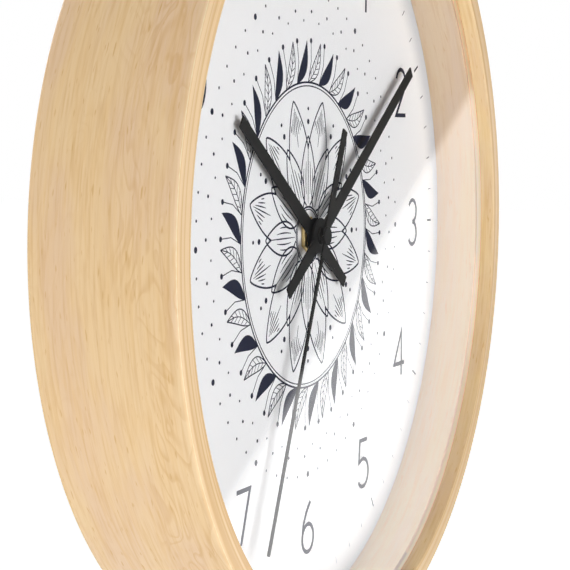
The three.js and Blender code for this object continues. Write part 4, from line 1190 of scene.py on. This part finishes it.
def add_world():
    world = bpy.data.worlds.new("studio")
    world.use_nodes = True
    scene.world = world
    tree = world.node_tree
    shown = calc(tree, "MULTIPLY", background_rays(tree), 1 - WORLD_LIGHT)
    strength = calc(tree, "ADD", shown, WORLD_LIGHT)
    tree.links.new(strength, tree.nodes["Background"].inputs["Strength"])
    tree.nodes["Background"].inputs["Color"].default_value = (1, 1, 1, 1)


def new_sheet(name, half, material, point):
    """A square sheet, whose corners are points made from two places across it."""
    mesh = bpy.data.meshes.new(name)
    corners = [(-half, -half), (half, -half), (half, half), (-half, half)]
    mesh.from_pydata([point(a, b) for a, b in corners], [], [(0, 1, 2, 3)])
    mesh.materials.append(material)
    sheet = bpy.data.objects.new(name, mesh)
    scene.collection.objects.link(sheet)
    return sheet


def add_floor():
    material, tree = bare_material("floor")
    strength = calc(tree, "MULTIPLY", background_rays(tree), FLOOR_GLOW)
    lit = add_node(tree, "BsdfDiffuse", {"Color": FLOOR_TONE})
    glow = add_node(tree, "Emission", {"Strength": strength})
    show(tree, add_node(tree, "AddShader", {0: lit.outputs[0], 1: glow.outputs[0]}))
    floor = new_sheet("floor", FLOOR_SIZE / 2, material, lambda x, y: (x, y, FLOOR_HEIGHT))


# Card that the lens mirrors: two points of the lens where its edge shows, its size, blur and brightness
MIRRORED_EDGE = (Vector((98.5, 42.1)) * MM, Vector((-46.2, -40.5)) * MM)
MIRRORED_REACH = 4.0
MIRRORED_HALF = 1.6
MIRRORED_BLUR = 0.014
MIRRORED_DARK = 0.02
MIRRORED_WHITE = 1.15
MIRRORED_FADE = 0.62


def add_mirror_card():
    """A card that only gloss sees: its dark half keeps the lens clear, and its white half veils it."""
    eye = scene.camera.location.copy()
    eye.y = 2 * lens_front - eye.y
    ends = [eye + (Vector((p.x, lens_front, p.y)) - eye) * MIRRORED_REACH for p in MIRRORED_EDGE]
    along = (ends[1] - ends[0]).normalized()
    across = along.cross(Vector((0, 1, 0))).normalized()
    turn = Matrix((across, along.cross(across), along)).transposed().to_4x4()
    material, tree = bare_material("mirror_card")
    half = (ends[1] - ends[0]).length / 2
    side, _, down = add_node(tree, "SeparateXYZ", {0: object_place(tree)}).outputs
    white = spread(tree, side, -MIRRORED_BLUR, MIRRORED_BLUR, MIRRORED_DARK, MIRRORED_WHITE)
    strength = calc(tree, "MULTIPLY", white, spread(tree, down, -half, half, MIRRORED_FADE, 1))
    show(tree, add_node(tree, "Emission", {"Strength": strength}))
    card = new_sheet("mirror_card", MIRRORED_HALF, material, lambda x, z: (x, 0, z))
    card.matrix_world = Matrix.Translation((ends[0] + ends[1]) / 2) @ turn
    for kind in ("camera", "diffuse", "transmission", "volume_scatter", "shadow"):
        setattr(card, "visible_" + kind, False)


add_camera()
add_world()
add_floor()
add_softbox("front", azimuth=-12, elevation=-6, distance=1.0, size=0.75, power=7.6, in_gloss=True)
add_softbox("fill", azimuth=-30, elevation=-28, distance=1.5, size=2.2, power=4.5)
add_softbox("side", azimuth=-112, elevation=-2, distance=1.3, size=1.8, power=13.9)
add_softbox("right", azimuth=112, elevation=15, distance=1.3, size=1.8, power=8.0)
add_softbox("rear", azimuth=165, elevation=42, distance=1.8, size=1.2, power=15.0, in_gloss=True)
add_softbox("top", azimuth=180, elevation=75, distance=1.5, size=1.5, power=4.0)
add_mirror_card()
scene.view_settings.view_transform = "Standard"
